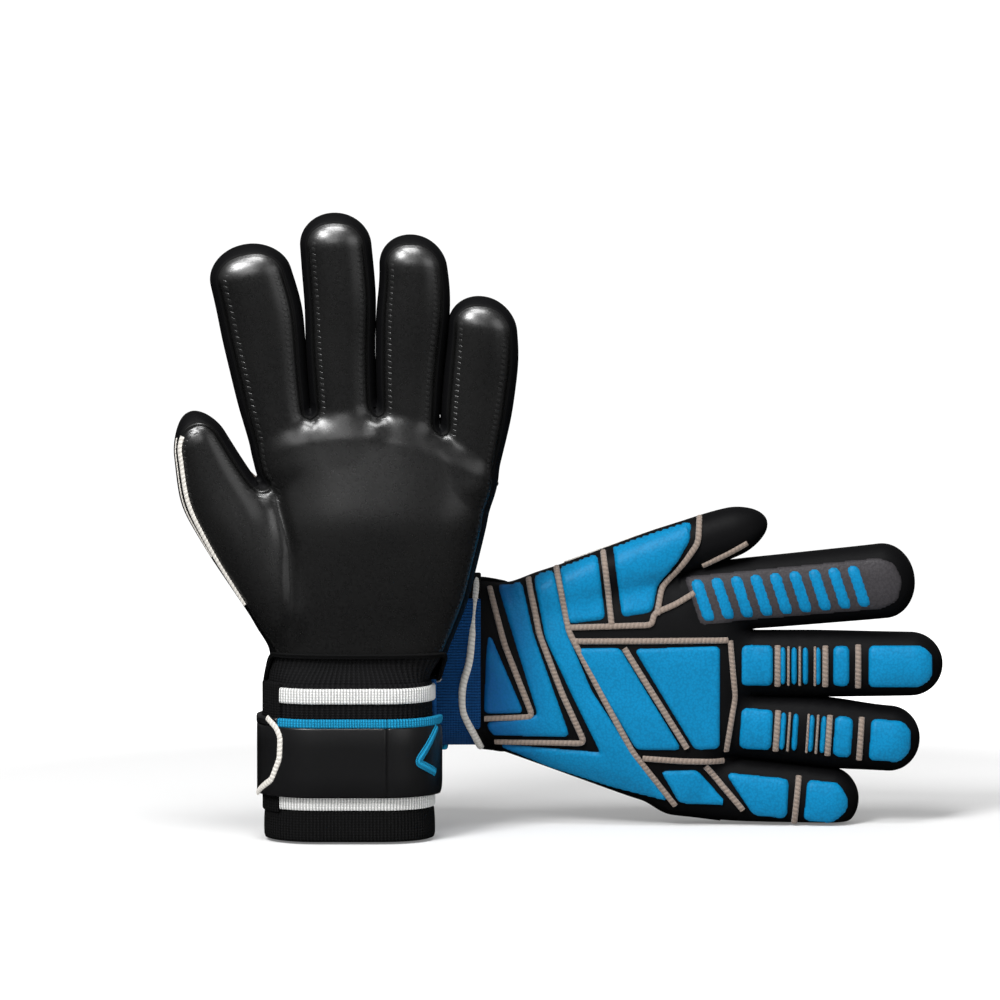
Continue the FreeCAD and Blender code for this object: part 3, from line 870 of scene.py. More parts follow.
def plate(part, outline, height):
    """A cushion over one outline on the back of a part, or None where the part doesn't reach."""
    corners = np.array(outline, float)
    line = round_outline(outline)
    low, high = corners.min(0) - PAD_GROW - 1.0, corners.max(0) + PAD_GROW + 1.0
    step = PAD_GRID if (high - low).min() > 8.0 else PAD_GRID * 0.55
    xs, zs = (np.arange(low[k], high[k] + step, step) for k in (0, 1))
    gx, gz = np.meshgrid(xs, zs, indexing="ij")
    vertices = np.stack([gx.ravel(), np.full(gx.size, 34.0), gz.ravel()], 1)
    index = np.arange(gx.size).reshape(gx.shape)
    a, b, c, d = index[:-1, :-1], index[1:, :-1], index[1:, 1:], index[:-1, 1:]
    faces = np.concatenate([np.stack([a, d, c], -1).reshape(-1, 3), np.stack([a, c, b], -1).reshape(-1, 3)])
    for level in (lambda p: -outline_depth(line, p), lambda p: -side_depth(part, p), part.level):
        vertices, faces = clip(vertices, faces, level)
        if not len(faces):
            return None
    vertices, faces = clip(fall(part.field, vertices), faces, part.level)
    if len(faces) < LEAST_FACES:
        return None
    slope = gradient(part.field, vertices)
    normals = slope / np.linalg.norm(slope, axis=1)[:, None]
    depth = np.minimum(outline_depth(line, vertices), side_depth(part, vertices) * 1.5)
    t = np.clip(depth / PAD_ROUND, 0.0, 1.0)
    lift = height * np.sqrt(1 - (1 - t) ** 2) - PAD_SUNK + 0.35 * ease(depth, 2.0, 9.0)
    return Form(vertices + normals * lift[:, None], faces, normals, False, lift=lift, height=vertices[:, 2])


def merge(forms):
    forms = [form for form in forms if form is not None]
    if not forms:
        return None
    starts = np.cumsum([0] + [len(form.vertices) for form in forms[:-1]])
    faces = []
    for start, form in zip(starts, forms):
        faces += [[k + int(start) for k in face] for face in form.faces]
    values = {key: np.concatenate([form.values[key] for form in forms]) for key in forms[0].values}
    outward = np.concatenate([form.outward for form in forms])
    return Form(np.concatenate([form.vertices for form in forms]), faces, outward, forms[0].smooth, **values)


# ---------------------------------------------------------------- cords


def tube(path, normals, width, height, sides=8):
    """A cord along a path: width across the surface, height away from it."""
    tangent = np.gradient(path, axis=0)
    tangent /= np.maximum(np.linalg.norm(tangent, axis=1), 1e-9)[:, None]
    across = np.cross(tangent, normals)
    across /= np.maximum(np.linalg.norm(across, axis=1), 1e-9)[:, None]
    normals = np.cross(across, tangent)
    turn = np.linspace(0, 2 * math.pi, sides + 1)
    sideways = np.cos(turn)[None, :, None] * across[:, None] * width
    out = sideways + np.sin(turn)[None, :, None] * normals[:, None] * height
    vertices = (path[:, None] + out).reshape(-1, 3)
    facing = np.cos(turn)[None, :, None] * across[:, None] * height
    facing = facing + np.sin(turn)[None, :, None] * normals[:, None] * width
    facing = (facing / np.linalg.norm(facing, axis=2)[..., None]).reshape(-1, 3)
    index = np.arange(len(vertices)).reshape(len(path), sides + 1)
    faces = np.stack([index[:-1, :-1], index[1:, :-1], index[1:, 1:], index[:-1, 1:]], -1)
    faces = faces.reshape(-1, 4).tolist()
    faces += [index[0, :-1].tolist(), index[-1, :-1][::-1].tolist()]
    run = np.concatenate([[0], np.cumsum(np.linalg.norm(np.diff(path, axis=0), axis=1))])
    return Form(vertices, faces, facing, along=np.repeat(run, sides + 1), around=np.tile(turn, len(path)))


def resample(line, step=1.2, soft=2.0):
    """Even points along a polyline whose corners are rounded a little."""
    line = np.array(line, float)
    run = np.concatenate([[0], np.cumsum(np.linalg.norm(np.diff(line, axis=0), axis=1))])
    count = max(4, int(run[-1] / step))
    places = np.linspace(0, run[-1], count + 1)
    points = np.stack([np.interp(places, run, line[:, k]) for k in range(line.shape[1])], 1)
    for _ in range(int(soft / step * 3)):
        points[1:-1] = (points[:-2] + 2 * points[1:-1] + points[2:]) / 4
    return points


def cords_on(part, points, width, height, sink=0.3):
    """Cord pieces along points that already lie on the part's surface, one for each run inside the part."""
    level = part.level(points)
    inside = level <= 0
    forms, k = [], 0
    while k < len(points):
        if not inside[k]:
            k += 1
            continue
        end = k
        while end + 1 < len(points) and inside[end + 1]:
            end += 1
        run = [points[i] for i in range(k, end + 1)]
        if k > 0:
            share = level[k - 1] / (level[k - 1] - level[k])
            run.insert(0, points[k - 1] + (points[k] - points[k - 1]) * share)
        if end + 1 < len(points):
            share = level[end] / (level[end] - level[end + 1])
            run.append(points[end] + (points[end + 1] - points[end]) * share)
        if len(run) > 2:
            path = np.array(run)
            slope = gradient(part.field, path)
            normals = slope / np.linalg.norm(slope, axis=1)[:, None]
            forms.append(tube(path + normals * (height - sink), normals, width, height))
        k = end + 1
    return forms


def back_cord(part, line, width=1.4, height=0.95):
    flat = resample(line)
    points = fall(part.field, np.stack([flat[:, 0], np.full(len(flat), 34.0), flat[:, 1]], 1))
    return cords_on(part, points[points[:, 1] > 2.5], width, height)


# ---------------------------------------------------------------- the back's layout
# Outlines are (x, z) in the glove frame, or (a, s) along a digit where a digit is named.

HAND_PADS = [
    [(-15, 75.5), (-4, 74.5), (20.4, 73.6), (20.4, 90.5)],
    [(-37.5, 80), (22.3, 98.5), (25.5, 74.5), (31, 77), (31.5, 111.8), (-16, 95), (-38.5, 90)],
    [(-41, 96.5), (-13.7, 101.8), (12.7, 114.2), (40, 127.5), (36.5, 81), (46, 103), (55, 130.5), (62, 157.5),
     (38.5, 140.2), (11, 122), (-17, 110.3), (-44, 104.5)],
    [(-46, 108.5), (-53, 124.5), (-22.7, 128.2), (-20.7, 112.2)],
    [(-56.5, 132.8), (-67, 168), (-58, 167), (-48.6, 161.6), (-37.6, 152.5), (-25.8, 149.9), (-23.8, 137)],
    [(-8.4, 115.8), (-8.6, 135.2), (37.8, 163.2), (37.5, 143.5)],
    [(-8.2, 143), (-9, 181), (37.5, 181), (37.8, 170.6)],
    [(48.8, 155.5), (48.4, 170.9), (64, 184.5), (63, 163.5)],
]
HAND_CORDS = [
    [(-36, 75.5), (-11, 82.3), (22.6, 95.5), (23.1, 73)],
    [(-41, 93.5), (-15.5, 98.4), (12, 109), (35, 119.5), (34.3, 78)],
    [(-46, 106.3), (-16.8, 111.9), (18, 130), (39, 141.4), (64.3, 161.2)],
    [(-57, 127.5), (-20, 131.7)],
    [(-18.4, 111.9), (-19.5, 150.7), (-24.6, 150.7), (-28.5, 161), (-34, 170)],
    [(-12.2, 113.4), (-12.2, 185)],
    [(-9, 137.5), (37.5, 166.4)],
    [(-68, 172.4), (-57, 171.5), (-48, 165), (-37, 155), (-24, 152.5)],
    [(42, 146), (43.5, 165), (44, 183)],
    [(-12, 186.2), (14, 188.5), (39, 184.5)],
    [(46, 174.8), (66.5, 192.4)],
]
DIGIT_PADS = {
    "middle": [[(-8.8, -4.2), (-8.8, 9), (8.8, 9), (8.8, -4.2)],
               [(-8.8, 38), (-8.8, 44.2), (8.8, 44.2), (8.8, 38)],
               [(-9, 54.3), (-9, 78), (-5, 82.5), (5, 82.5), (9, 78), (9, 54.3)]],
    "ring": [[(-8.8, -1.5), (-8.8, 12), (8.8, 12), (8.8, -1.5)],
             [(-8.8, 41.8), (-8.8, 49), (8.8, 49), (8.8, 41.8)],
             [(-9, 58.5), (-9, 72), (-5, 76), (5, 76), (9, 72), (9, 58.5)]],
    "little": [[(-8, 1), (-8, 28.8), (9.3, 29.5), (9.3, 15)],
               [(-8.5, 38.5), (-8.5, 52), (-2, 57), (3.5, 57), (9.3, 51), (9.3, 38.5)]],
}
DIGIT_RIBS = {"middle": [14.2, 19.4, 24.6, 30.4], "ring": [17.5, 23.2, 30.6, 36.2]}
RIB_HALF = 0.6
DIGIT_CORDS = {
    "middle": [[(-9.5, 48.9), (9.5, 48.9)], [(-9, 11.8), (9, 11.8)], [(-9, 33.8), (9, 33.8)]],
    "ring": [[(-9.5, 53.5), (9.5, 53.5)], [(-9, 14.8), (9, 14.8)], [(-9, 38.8), (9, 38.8)]],
    "little": [[(-10, 33.8), (11, 33.8)]],
    "thumb": [[(9.3, 27), (7.5, 41), (5.8, 49.5)]],
}
PALE_RIB_LINES = {"middle": [16.8, 22, 29.0, 33.8], "ring": [20.3, 29.0, 33.4]}
INDEX_PANEL = [(-11, -27), (-11.5, 62), (-8.5, 69), (0, 72), (8.5, 69), (11.5, 62), (11, -22)]
BAR_PLACES = (-20, -11, -2, 7, 16, 25, 34, 43, 52)
BAR = [(-9, -4.6), (-9, 0.4), (9.5, 4.6), (9.5, -0.4)]


def on_digit(digit, outline):
    """A digit's outline in (x, z), moved sideways with the padding."""
    return [tuple(digit.point(a + float(digit.shift(s)), 0, s)[[0, 2]]) for a, s in outline]


def pad_outlines(glove):
    """The outlines of all raised pads of one glove, in (x, z)."""
    outlines = list(HAND_PADS)
    for name, shapes in DIGIT_PADS.items():
        outlines += [on_digit(glove.digits[name], shape) for shape in shapes]
    for name, places in DIGIT_RIBS.items():
        for s in places:
            rib = [(-8.5, s - RIB_HALF), (-8.5, s + RIB_HALF), (8.5, s + RIB_HALF), (8.5, s - RIB_HALF)]
            outlines.append(on_digit(glove.digits[name], rib))
    for s in BAR_PLACES:
        outlines.append(on_digit(glove.digits["index"], [(a, s + lean) for a, lean in BAR]))
    return outlines


def make_back(glove, parts, pad, cord, panel):
    outlines = pad_outlines(glove)
    panel_outline = on_digit(glove.digits["index"], INDEX_PANEL)
    lines = [(line, 1.4) for line in HAND_CORDS]
    for name, routes in DIGIT_CORDS.items():
        lines += [(on_digit(glove.digits[name], route), 1.4) for route in routes]
    for name, places in PALE_RIB_LINES.items():
        lines += [(on_digit(glove.digits[name], [(-8.6, s), (8.6, s)]), 0.6) for s in places]
    for part in parts.values():
        under = plate(part, panel_outline, PANEL_HEIGHT) if near_part(part, panel_outline) else None
        if under is not None:
            part.attach(make_object(glove, part.name + "_panel", under, panel), "black_back")
        forms = [plate(part, outline, PAD_HEIGHT) for outline in outlines if near_part(part, outline)]
        form = merge(forms)
        if form is not None:
            piece = make_object(glove, part.name + "_pads", form, pad)
            digit, _, end = part.name.partition("_")
            nodes = [f"{digit}_back_{end}"] if digit in DIGIT_PADS else []
            part.attach(piece, "blue_pad" if nodes else "blue_foam", *nodes)
        forms = []
        for line, width in lines:
            if near_part(part, line):
                forms += back_cord(part, line, width)
        form = merge(forms)
        if form is not None:
            part.attach(make_object(glove, part.name + "_cords", form, cord), "grey_piping")


def near_part(part, outline):
    """Whether a part's own stretch is anywhere under an outline."""
    corners = np.array(outline, float)
    low, high = corners.min(0), corners.max(0)
    xs, zs = np.linspace(low[0], high[0], 9), np.linspace(low[1], high[1], 9)
    gx, gz = np.meshgrid(xs, zs)
    points = np.stack([gx.ravel(), np.full(gx.size, 10.0), gz.ravel()], 1)
    return bool((part.level(points) < 0).any() and (part.field(points) < 8.0).any())


# the thumb's piping: y, where it starts and stops along the thumb, half width and height
THUMB_PIPING = [(-10.8, -34.0, 47.0, 1.35, 0.6), (-7.6, -8.0, 47.5, 0.5, 0.3)]


def make_thumb_piping(glove, parts, cord):
    """Pale piping along the thumb's outer seam, and a thin cord outside it."""
    thumb = glove.digits["thumb"]
    for line, (y, first, last, width, height) in enumerate(THUMB_PIPING):
        places = np.linspace(first, last, 70)
        start = np.array([thumb.point(-45.0, y, s) for s in places])
        for name in ("hand", "thumb_base", "thumb_tip"):
            part = parts[name]
            points = fall(part.field, start, thumb.aside)
            points = points[thumb.local(points)[0] < 0]
            form = merge(cords_on(part, points, width, height, 0.1)) if len(points) > 2 else None
            if form is not None:
                part.attach(make_object(glove, f"{name}_edge_piping_{line + 1}", form, cord), "grey_piping")


# ---------------------------------------------------------------- cuff and strap

CUFF_SIDES = 216
BAND_LIFT = 2.0  # the lower white band sits this much higher than its ring
CUFF_NARROW = 4.4  # the cuff is drawn in by this much on the little finger's side


class Outline:
    """The cuff's outline: u runs along it from the thumb side by way of the palm side."""

    def __init__(self, glove):
        high = glove.node_box("bandage")[1]
        self.radius = high[1]
        self.flat = high[0] - high[1] - CUFF_NARROW / 2
        self.quarter = self.radius * math.pi / 2
        self.length = 4 * self.quarter + 4 * self.flat
        front = 2 * self.flat
        self.marks = np.cumsum([0, self.quarter, front, 2 * self.quarter, front, self.quarter])
        self.top = high[2]

    def at(self, u, offset, z):
        u = np.mod(u, self.length - 1e-9)
        angle = math.pi + np.interp(u, self.marks, np.array([0, 1, 1, 3, 3, 4]) * math.pi / 2)
        centre = np.interp(u, self.marks, np.array([-1, -1, 1, 1, -1, -1]) * self.flat) - CUFF_NARROW / 2
        radius = self.radius + offset
        return np.stack([centre + radius * np.cos(angle), radius * np.sin(angle), z + 0 * u], 1)

    def normal(self, u):
        return self.at(u, 1.0, 0.0) - self.at(u, 0.0, 0.0)


def sum_normals(vertices, faces):
    """Smooth normals of a mesh of quads and triangles."""
    normals = np.zeros_like(vertices)
    for face in (np.array([f for f in faces if len(f) == k]) for k in (3, 4)):
        if len(face):
            edge = vertices[face[:, 1]] - vertices[face[:, 0]], vertices[face[:, -1]] - vertices[face[:, 0]]
            for k in range(face.shape[1]):
                np.add.at(normals, face[:, k], np.cross(*edge))
    return normals / np.maximum(np.linalg.norm(normals, axis=1), 1e-9)[:, None]


def loft(rings, around, flip=False):
    """Quads between closed rings. Each ring is given without its closing point."""
    count = len(rings[0])
    vertices = np.concatenate(rings)
    index = np.arange(len(vertices)).reshape(len(rings), count)
    index = np.concatenate([index, index[:, :1]], 1)
    quads = np.stack([index[:-1, :-1], index[:-1, 1:], index[1:, 1:], index[1:, :-1]], -1).reshape(-1, 4)
    if flip:
        quads = quads[:, ::-1]
    normals = sum_normals(vertices, quads)[index.ravel()]
    vertices = vertices[index.ravel()]
    fresh = np.arange(len(vertices)).reshape(index.shape)
    quads = np.stack([fresh[:-1, :-1], fresh[:-1, 1:], fresh[1:, 1:], fresh[1:, :-1]], -1).reshape(-1, 4)
    if flip:
        quads = quads[:, ::-1]
    return Form(vertices, quads, normals, around=np.tile(around, len(rings)), height=vertices[:, 2])


def ripple(u, z, outline, lobes, size):
    """A slow waviness round the cuff, so that the knit doesn't look turned on a lathe."""
    turn = 2 * math.pi * u / outline.length
    return size * (np.sin(lobes * turn + z * 0.11) + 0.6 * np.sin((lobes + 3) * turn - z * 0.07))


def sleeve(outline, profile, wave=0.0):
    """A ring round the cuff with this (offset, z) profile."""
    u = np.linspace(0, outline.length, CUFF_SIDES, endpoint=False)
    rings = [outline.at(u, offset + ripple(u, z, outline, 5, wave), z) for offset, z in profile]
    return loft(rings, np.append(u, outline.length))


def strip(outline, first, last, profile, shrink=0.0):
    """A piece of band from u first to last with this closed (offset, z) profile.

    shrink rounds its far corners."""
    u = np.linspace(first, last, max(6, int((last - first) / 1.5)))
    middle = (profile[0][1] + profile[-1][1]) / 2
    squeeze = np.ones(len(u))
    if shrink:
        t = np.clip((u - (last - shrink)) / shrink, 0.0, 1.0)
        squeeze = 1 - 0.35 * t**3
    columns = [outline.at(u, offset, 0.0) + np.array([0, 0, 1.0]) * (middle + (z - middle) * squeeze)[:, None]
               for offset, z in profile]
    grid = np.stack(columns, 1)
    rows, count = grid.shape[:2]
    index = np.arange(rows * count).reshape(rows, count)
    around = np.concatenate([index, index[:, :1]], 1)
    faces = np.stack([around[:-1, :-1], around[:-1, 1:], around[1:, 1:], around[1:, :-1]], -1).reshape(-1, 4)
    faces = faces.tolist() + [index[0].tolist()[::-1], index[-1].tolist()]
    vertices = grid.reshape(-1, 3)
    centre = np.repeat(grid.mean(1), count, axis=0)
    return Form(vertices, faces, vertices - centre, False, around=np.repeat(u, count), height=vertices[:, 2])


def band_profile(inner, outer, bottom, top, corner=0.6):
    """A closed profile with rounded outer corners, running up its outer side."""
    low, high = 0.7 * bottom + 0.3 * top, 0.3 * bottom + 0.7 * top
    return [(inner, bottom + 0.2), (outer - corner, bottom), (outer - 0.2, bottom + 0.2),
            (outer, bottom + corner), (outer, low), (outer, high), (outer, top - corner),
            (outer - 0.2, top - 0.2), (outer - corner, top), (inner, top - 0.2)]


def skin_ring(glove, u, outline, height, inset):
    """Points on the hand's skin at a height, in the same directions from the axis as the cuff's outline."""
    rim = outline.at(u, 0.0, 0.0)
    away = rim / np.linalg.norm(rim, axis=1)[:, None]
    points = away * 75.0 + np.array([0, 0, 1.0]) * height[:, None]
    out = points.copy()
    for _ in range(30):
        out -= away * palm_field(glove, out)[:, None] * 0.9
    return out - away * inset


def make_cuff(glove, parts, looks):
    outline = Outline(glove)
    low, _ = glove.node_box("cuff_bands")
    low[2] += BAND_LIFT
    hem_top = low[2] - 0.4
    top = outline.top
    u = np.linspace(0, outline.length, CUFF_SIDES, endpoint=False)

    profile = [(-2.6, 1.0), (-1.2, 0.5)] + [(-0.1, z) for z in np.linspace(hem_top - 1, top - 1.2, 30)]
    profile += [(-0.7, top - 0.3), (-1.6, top), (-2.6, top - 0.6)]
    knit = make_object(glove, "bandage_knit", sleeve(outline, profile, 0.16), looks["knit"])
    ride(glove, knit, "cuff", "elastic_knit", "bandage")
    profile = [(-2.4, 1.6), (-1.6, 0.3), (-0.4, 0.0), (0.7, 0.4), (1.15, 1.8), (1.25, 4.5), (1.2, 8.5),
               (0.9, hem_top - 0.8), (0.2, hem_top), (-0.3, hem_top)]
    hem = make_object(glove, "bandage_hem", sleeve(outline, profile, 0.1), looks["hem"])
    ride(glove, hem, "cuff", "elastic_knit")

    bottoms = (low[2], glove.node_box("cuff_bands")[1][2] - (glove.band_height))
    lower = [(-0.3, bottoms[0]), (1.0, bottoms[0] + 0.1), (1.4, bottoms[0] + 0.8), (1.4, bottoms[0] + 3.5),
             (1.4, bottoms[0] + 6.2), (1.0, bottoms[0] + 6.9), (-0.3, bottoms[0] + 7.0)]
    piece = make_object(glove, "lower_band", sleeve(outline, lower, 0.1), looks["white"])
    ride(glove, piece, "cuff", "white_band", "cuff_bands")
    upper = [(offset, z - bottoms[0] + bottoms[1]) for offset, z in lower]
    piece = make_object(glove, "upper_band", sleeve(outline, upper, 0.1), looks["white"])
    ride(glove, piece, "cuff", "white_band")

    # black patch on the thumb side, under the strap's sewn end
    patch = strip(outline, -21.0, 18.5, band_profile(-0.2, 2.0, low[2] - 1.5, top - 0.4, 0.8))
    ride(glove, make_object(glove, "side_patch", patch, looks["hem"]), "cuff", "strap_fabric")

    # dark blue panel over the back of the cuff, from flank to flank
    back = (2 * outline.quarter + 2 * outline.flat + 4.0, outline.length - 21.5)
    panel = strip(outline, *back, band_profile(-0.2, 2.2, 50.0, top - 0.5, 1.0))
    piece = make_object(glove, "back_panel", panel, looks["deep_blue"])
    ride(glove, piece, "cuff", "blue_foam")

    # knit gaiter between the cuff and the hand
    rings = []
    for z in np.linspace(top - 6.0, PALM_HEM + 6.0, 16):
        height = np.full(CUFF_SIDES, z)
        share = float(ease(z, top - 2.0, PALM_HEM - 1.0))
        ring = outline.at(u, -1.4 + ripple(u, z, outline, 7, 0.3), z) * (1 - share)
        rings.append(ring + skin_ring(glove, u, outline, np.maximum(height, top), 1.7) * share)
        rings[-1][:, 2] = z
    gaiter = make_object(glove, "gaiter", loft(rings, np.append(u, outline.length)), looks["knit"])
    parts["hand"].attach(gaiter, "elastic_knit")

    make_lining(glove, parts, outline, looks["lining"])
    make_hem_cords(glove, parts, outline, looks)
    make_strap(glove, parts, outline, looks)


def ride(glove, piece, body, slot, *nodes):
    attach(piece, glove.body(body))
    if nodes:
        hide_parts(*[f"{glove.name}_{node}" for node in nodes])


def make_lining(glove, parts, outline, material):
    """The pocket inside the cuff and the hand, seen through the cuff's mouth."""

    def inner(points):
        x, y, z = points.T
        beyond = np.maximum(np.abs(x + CUFF_NARROW / 2) - outline.flat, 0.0)
        tube_gap = np.hypot(beyond, y) - outline.radius + 3.0
        share = ease(z, outline.top, PALM_HEM + 4.0)
        return tube_gap * (1 - share) + (palm_field(glove, points) + 3.6) * share

    vertices, faces = surface_nets(inner, (-72, -26, -3), (74, 26, 200), 2.4)
    vertices, faces = clip(vertices, faces, lambda p: 1.2 - p[:, 2])
    normals = gradient(inner, vertices)
    normals = -normals / np.maximum(np.linalg.norm(normals, axis=1), 1e-9)[:, None]
    around = vertices[:, 0] + vertices[:, 1]
    form = Form(vertices, faces[:, ::-1], normals, around=around, height=vertices[:, 2])
    parts["hand"].attach(make_object(glove, "lining", form, material), "black_back")


def make_hem_cords(glove, parts, outline, looks):
    """Binding along the skin's lower edge: black under the palm, pale piping across the back."""
    u = np.linspace(0, outline.length, 300)
    points = skin_ring(glove, u, outline, np.full(len(u), PALM_HEM), 0.0)
    for _ in range(5):
        points = skin_ring(glove, u, outline, hem_height(points[:, 0], points[:, 1]) + 0.4, 0.0)
    part = parts["hand"]
    back = points[:, 1] > 7.0
    cords = (("palm_binding", ~back, 1.3, "black_cord"), ("wrist_piping", back, 1.7, "piping"))
    for name, mask, width, look in cords:
        run = points[mask] if name == "wrist_piping" else points[: int(mask.argmin())]
        if name == "palm_binding":
            run = points[np.concatenate([np.where(mask & (u > outline.length / 2))[0],
                                         np.where(mask & (u < outline.length / 2))[0]])]
        slope = gradient(lambda p: palm_field(glove, p), run)
        normals = slope / np.linalg.norm(slope, axis=1)[:, None]
        form = tube(run + normals * 0.2, normals, width, width * 0.95, 10)
        piece = make_object(glove, name, form, looks[look])
        nodes = ["wrist_piping"] if name == "wrist_piping" else []
        part.attach(piece, "grey_piping", *nodes)


STRAP_ARC = [(14.5, 56.2), (19.5, 52.5), (21.6, 48), (21.2, 38), (17, 28), (5, 20.8)]
BINDING_START = 20.0  # where along the strap its blue edge starts
STRAP_CHEVRON = [(91.8, 51.5), (80.2, 36.5), (90.4, 31.0)]


def strap_line(outline, line, offset, width, height):
    flat = resample(line, 1.0, 1.0)
    path = outline.at(flat[:, 0], offset, 0.0)
    path[:, 2] = flat[:, 1]
    return tube(path, outline.normal(flat[:, 0]), width, height)


def make_strap(glove, parts, outline, looks):
    """Anchor, strap and pull end, with hook tape inside the end and loop tape on the cuff."""
    low, high = glove.node_box("strap_band")
    bottom, top = low[2], high[2]
    outer = -low[1] - outline.radius - 1.1
    inner = outer - 2.6
    binding_bottom = top - 4.3
    anchor_low = glove.node_box("strap_anchor")[0]
    split = outline.quarter + outline.flat + high[0]
    end = 2 * outline.quarter + 2 * outline.flat - 0.5
    body = band_profile(inner, outer - 0.3, bottom, binding_bottom + 0.4, 0.9)
    edge = band_profile(inner - 0.1, outer - 0.1, binding_bottom + 0.2, top, 1.1)

    def hinge(piece, slot, a, b, start, stop, *nodes):
        glove.body(a)
        glove.body(b)
        tuple(glove.to_row([start])[0])
        tuple(glove.to_row([stop])[0])
        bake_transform(piece)
        if nodes:
            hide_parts(*[f"{glove.name}_{node}" for node in nodes])

    x_root = anchor_low[0]
    root = (x_root, 1.0, 0.0), (x_root, -12.0, 0.0)
    fold = (high[0] + 0.5, low[1], 0.0), (high[0] + 14.0, low[1], 0.0)
    for name, look, profile in (("panel", "strap", body), ("binding", "blue_woven", edge)):
        sewn = strip(outline, -20.0, -0.2, profile)
        piece = make_object(glove, "strap_anchor_" + name, sewn, looks["strap"])
        ride(glove, piece, "cuff", "strap_fabric", *(["strap_anchor"] if name == "panel" else []))
        start = -0.2 if name == "panel" else BINDING_START
        piece = make_object(glove, "strap_" + name, strip(outline, start, split, profile), looks[look])
        hinge(piece, "strap_fabric", "cuff", "strap", *root, *(["strap_band"] if name == "panel" else []))
        piece = make_object(glove, "strap_end_" + name, strip(outline, split, end, profile, 7.0), looks[look])
        hinge(piece, "strap_fabric", "strap", "strap_end", *fold, *(["strap_tip"] if name == "panel" else []))
    root_edge = strip(outline, -0.2, BINDING_START, edge)
    piece = make_object(glove, "strap_root_edge", root_edge, looks["strap"])
    hinge(piece, "strap_fabric", "cuff", "strap", *root)
    arc = strap_line(outline, STRAP_ARC, outer - 0.1, 1.5, 0.7)
    piece = make_object(glove, "strap_arc", arc, looks["piping"])
    hinge(piece, "grey_piping", "cuff", "strap", *root)
    chevron = strap_line(outline, STRAP_CHEVRON, outer - 0.2, 2.0, 0.6)
    piece = make_object(glove, "strap_chevron", chevron, looks["blue_woven"])
    hinge(piece, "strap_fabric", "strap", "strap_end", *fold)
    profile = band_profile(inner - 1.0, inner + 0.2, bottom + 4, top - 4, 0.4)
    hook = strip(outline, split + 4.0, end - 3.0, profile)
    piece = make_object(glove, "hook_tape", hook, looks["hook"])
    hinge(piece, "hook_tape", "strap", "strap_end", *fold, "hook_patch")
    loop = strip(outline, split + 4.0, end - 3.0, band_profile(-0.3, 0.95, bottom + 4, top - 4, 0.4))
    ride(glove, make_object(glove, "loop_tape", loop, looks["loop"]), "cuff", "loop_tape", "loop_patch")


# ---------------------------------------------------------------- studio


def aim(thing, target):
    direction = Vector(target) - thing.location
    thing.rotation_euler = direction.to_track_quat("-Z", "Y").to_euler()


def add_light(name, place, target, size, power, color=(1.0, 1.0, 1.0)):
    data = bpy.data.lights.new(name, "AREA")
    data.size, data.energy, data.color = size, power, color
    lamp = bpy.data.objects.new(name, data)
    bpy.context.scene.collection.objects.link(lamp)
    lamp.location = place
    aim(lamp, target)


CAMERA_RISE = math.radians(5.0)
CAMERA_DISTANCE = 4.0
PICTURE_WIDTH = 0.455  # what the camera takes in at the left glove
SENSOR = 36.0
CAMERA_TARGET = (-0.0245, -0.0285, 0.154)
# each light's name, place, target, size in metres and power in watts
LIGHTS = [
    ("key", (-1.2, -2.1, 2.2), (0.0, 0.0, 0.12), 0.9, 80.0),
    ("fill", (1.9, -2.4, 1.2), (0.0, 0.0, 0.12), 1.8, 12.0),
    ("top", (-0.15, -0.6, 1.5), (-0.05, 0.0, 0.22), 0.5, 12.0),
    ("front", (-0.45, -2.6, 1.15), (-0.05, 0.0, 0.17), 0.6, 4.0),
]


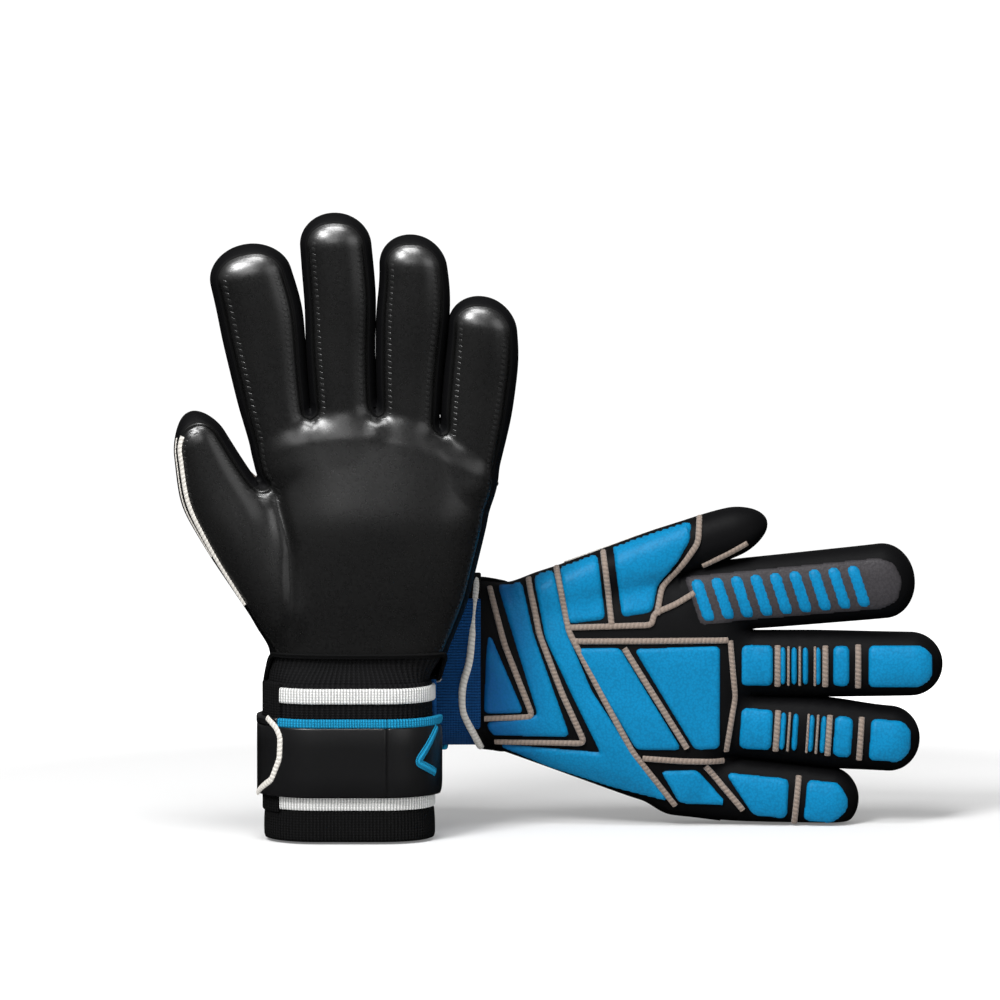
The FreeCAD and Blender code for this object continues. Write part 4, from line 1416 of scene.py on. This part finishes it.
def make_studio():
    scene = bpy.context.scene
    scene.view_settings.view_transform = "Standard"
    world = bpy.data.worlds.new("studio")
    scene.world = world
    world.use_nodes = True
    tree = world.node_tree
    background = tree.nodes["Background"]
    rays = tree.nodes.new("ShaderNodeLightPath")
    strength = tree.nodes.new("ShaderNodeMath")
    strength.operation = "ADD"
    for slot, kind, amount in ((0, "Is Camera Ray", 1.0), (1, "Is Diffuse Ray", 0.32)):
        share = tree.nodes.new("ShaderNodeMath")
        share.operation = "MULTIPLY_ADD"
        share.inputs[1].default_value, share.inputs[2].default_value = amount, 0.05
        tree.links.new(rays.outputs[kind], share.inputs[0])
        tree.links.new(share.outputs[0], strength.inputs[slot])
    tree.links.new(strength.outputs[0], background.inputs["Strength"])
    background.inputs["Color"].default_value = (1.0, 1.0, 1.0, 1.0)

    mesh = bpy.data.meshes.new("floor")
    reach = 9.0
    corners = [(-reach, -reach, 0), (reach, -reach, 0), (reach, reach, 0), (-reach, reach, 0)]
    mesh.from_pydata(corners, [], [(0, 1, 2, 3)])
    # paper that stays white far from the gloves, and takes their soft shadow close to them
    n = Nodes("floor_white")
    away = n.add("ShaderNodeVectorMath", {0: n.place()}, operation="LENGTH").outputs["Value"]
    far = n.ramp(away, 0.6, 1.2)
    n.finish(FLOOR, 0.9, Specular_IOR_Level=0.0)
    n.plug(n.shader.inputs["Emission Color"], (1.0, 1.0, 1.0, 1.0))
    mirrored = n.add("ShaderNodeLightPath").outputs["Is Glossy Ray"]
    paper = n.mix(n.math("MAXIMUM", far, mirrored), FLOOR, (0.0, 0.0, 0.0))
    n.plug(n.shader.inputs["Base Color"], paper)
    glow = n.math("ADD", 0.17, n.math("MULTIPLY", n.ramp(away, 0.34, 0.6), 0.88))
    seen = n.add("ShaderNodeLightPath").outputs["Is Camera Ray"]
    n.plug(n.shader.inputs["Emission Strength"], n.math("MULTIPLY", glow, seen))
    mesh.materials.append(n.material)
    floor = bpy.data.objects.new("floor", mesh)
    scene.collection.objects.link(floor)
    floor.location.z = min(CAD_BOX[0][2], 0.0) - 0.001

    for light in LIGHTS:
        add_light(*light)

    camera = bpy.data.objects.new("camera", bpy.data.cameras.new("camera"))
    scene.collection.objects.link(camera)
    camera.data.sensor_width = SENSOR
    camera.data.lens = SENSOR * CAMERA_DISTANCE / PICTURE_WIDTH
    camera.data.clip_end = 60.0
    back, rise = math.cos(CAMERA_RISE) * CAMERA_DISTANCE, math.sin(CAMERA_RISE) * CAMERA_DISTANCE
    camera.location = (CAMERA_TARGET[0], CAMERA_TARGET[1] - back, CAMERA_TARGET[2] + rise)
    aim(camera, CAMERA_TARGET)
    scene.camera = camera


# ---------------------------------------------------------------- assembly

LOOKS = {
    "skin": skin_material(),
    "pads": pad_material("blue_padding", BLUE, DEEP_BLUE, (74.0, 108.0)),
    "panel": pad_material("charcoal_panel", GRAPHITE, GRAPHITE, (74.0, 108.0)),
    "cords": cord_material("tan_cord", TAN),
    "piping": cord_material("pale_piping", PALE_GREY),
    "black_cord": knit_material("black_binding", (0.004, 0.004, 0.0042), 1.8),
    "knit": knit_material("black_knit", (0.007, 0.007, 0.0075)),
    "hem": knit_material("hem_knit", (0.005, 0.005, 0.0052), 1.6),
    "white": knit_material("white_elastic", WHITE, 1.4),
    "lining": knit_material("lining_cloth", (0.02, 0.02, 0.021), 1.8),
    "deep_blue": knit_material("blue_back_cloth", (0.006, 0.06, 0.2), 1.3),
    "blue_woven": knit_material("blue_woven_edge", (0.01, 0.25, 0.46), 1.2),
    "strap": strap_material(),
    "hook": tape_material("hook_tape", True),
    "loop": tape_material("loop_tape", False),
}

for name in ("left", "right"):
    glove = Glove(name)
    parts = make_parts(glove)
    make_skin(glove, parts, LOOKS["skin"])
    make_back(glove, parts, LOOKS["pads"], LOOKS["cords"], LOOKS["panel"])
    make_thumb_piping(glove, parts, LOOKS["piping"])
    make_cuff(glove, parts, LOOKS)

make_studio()
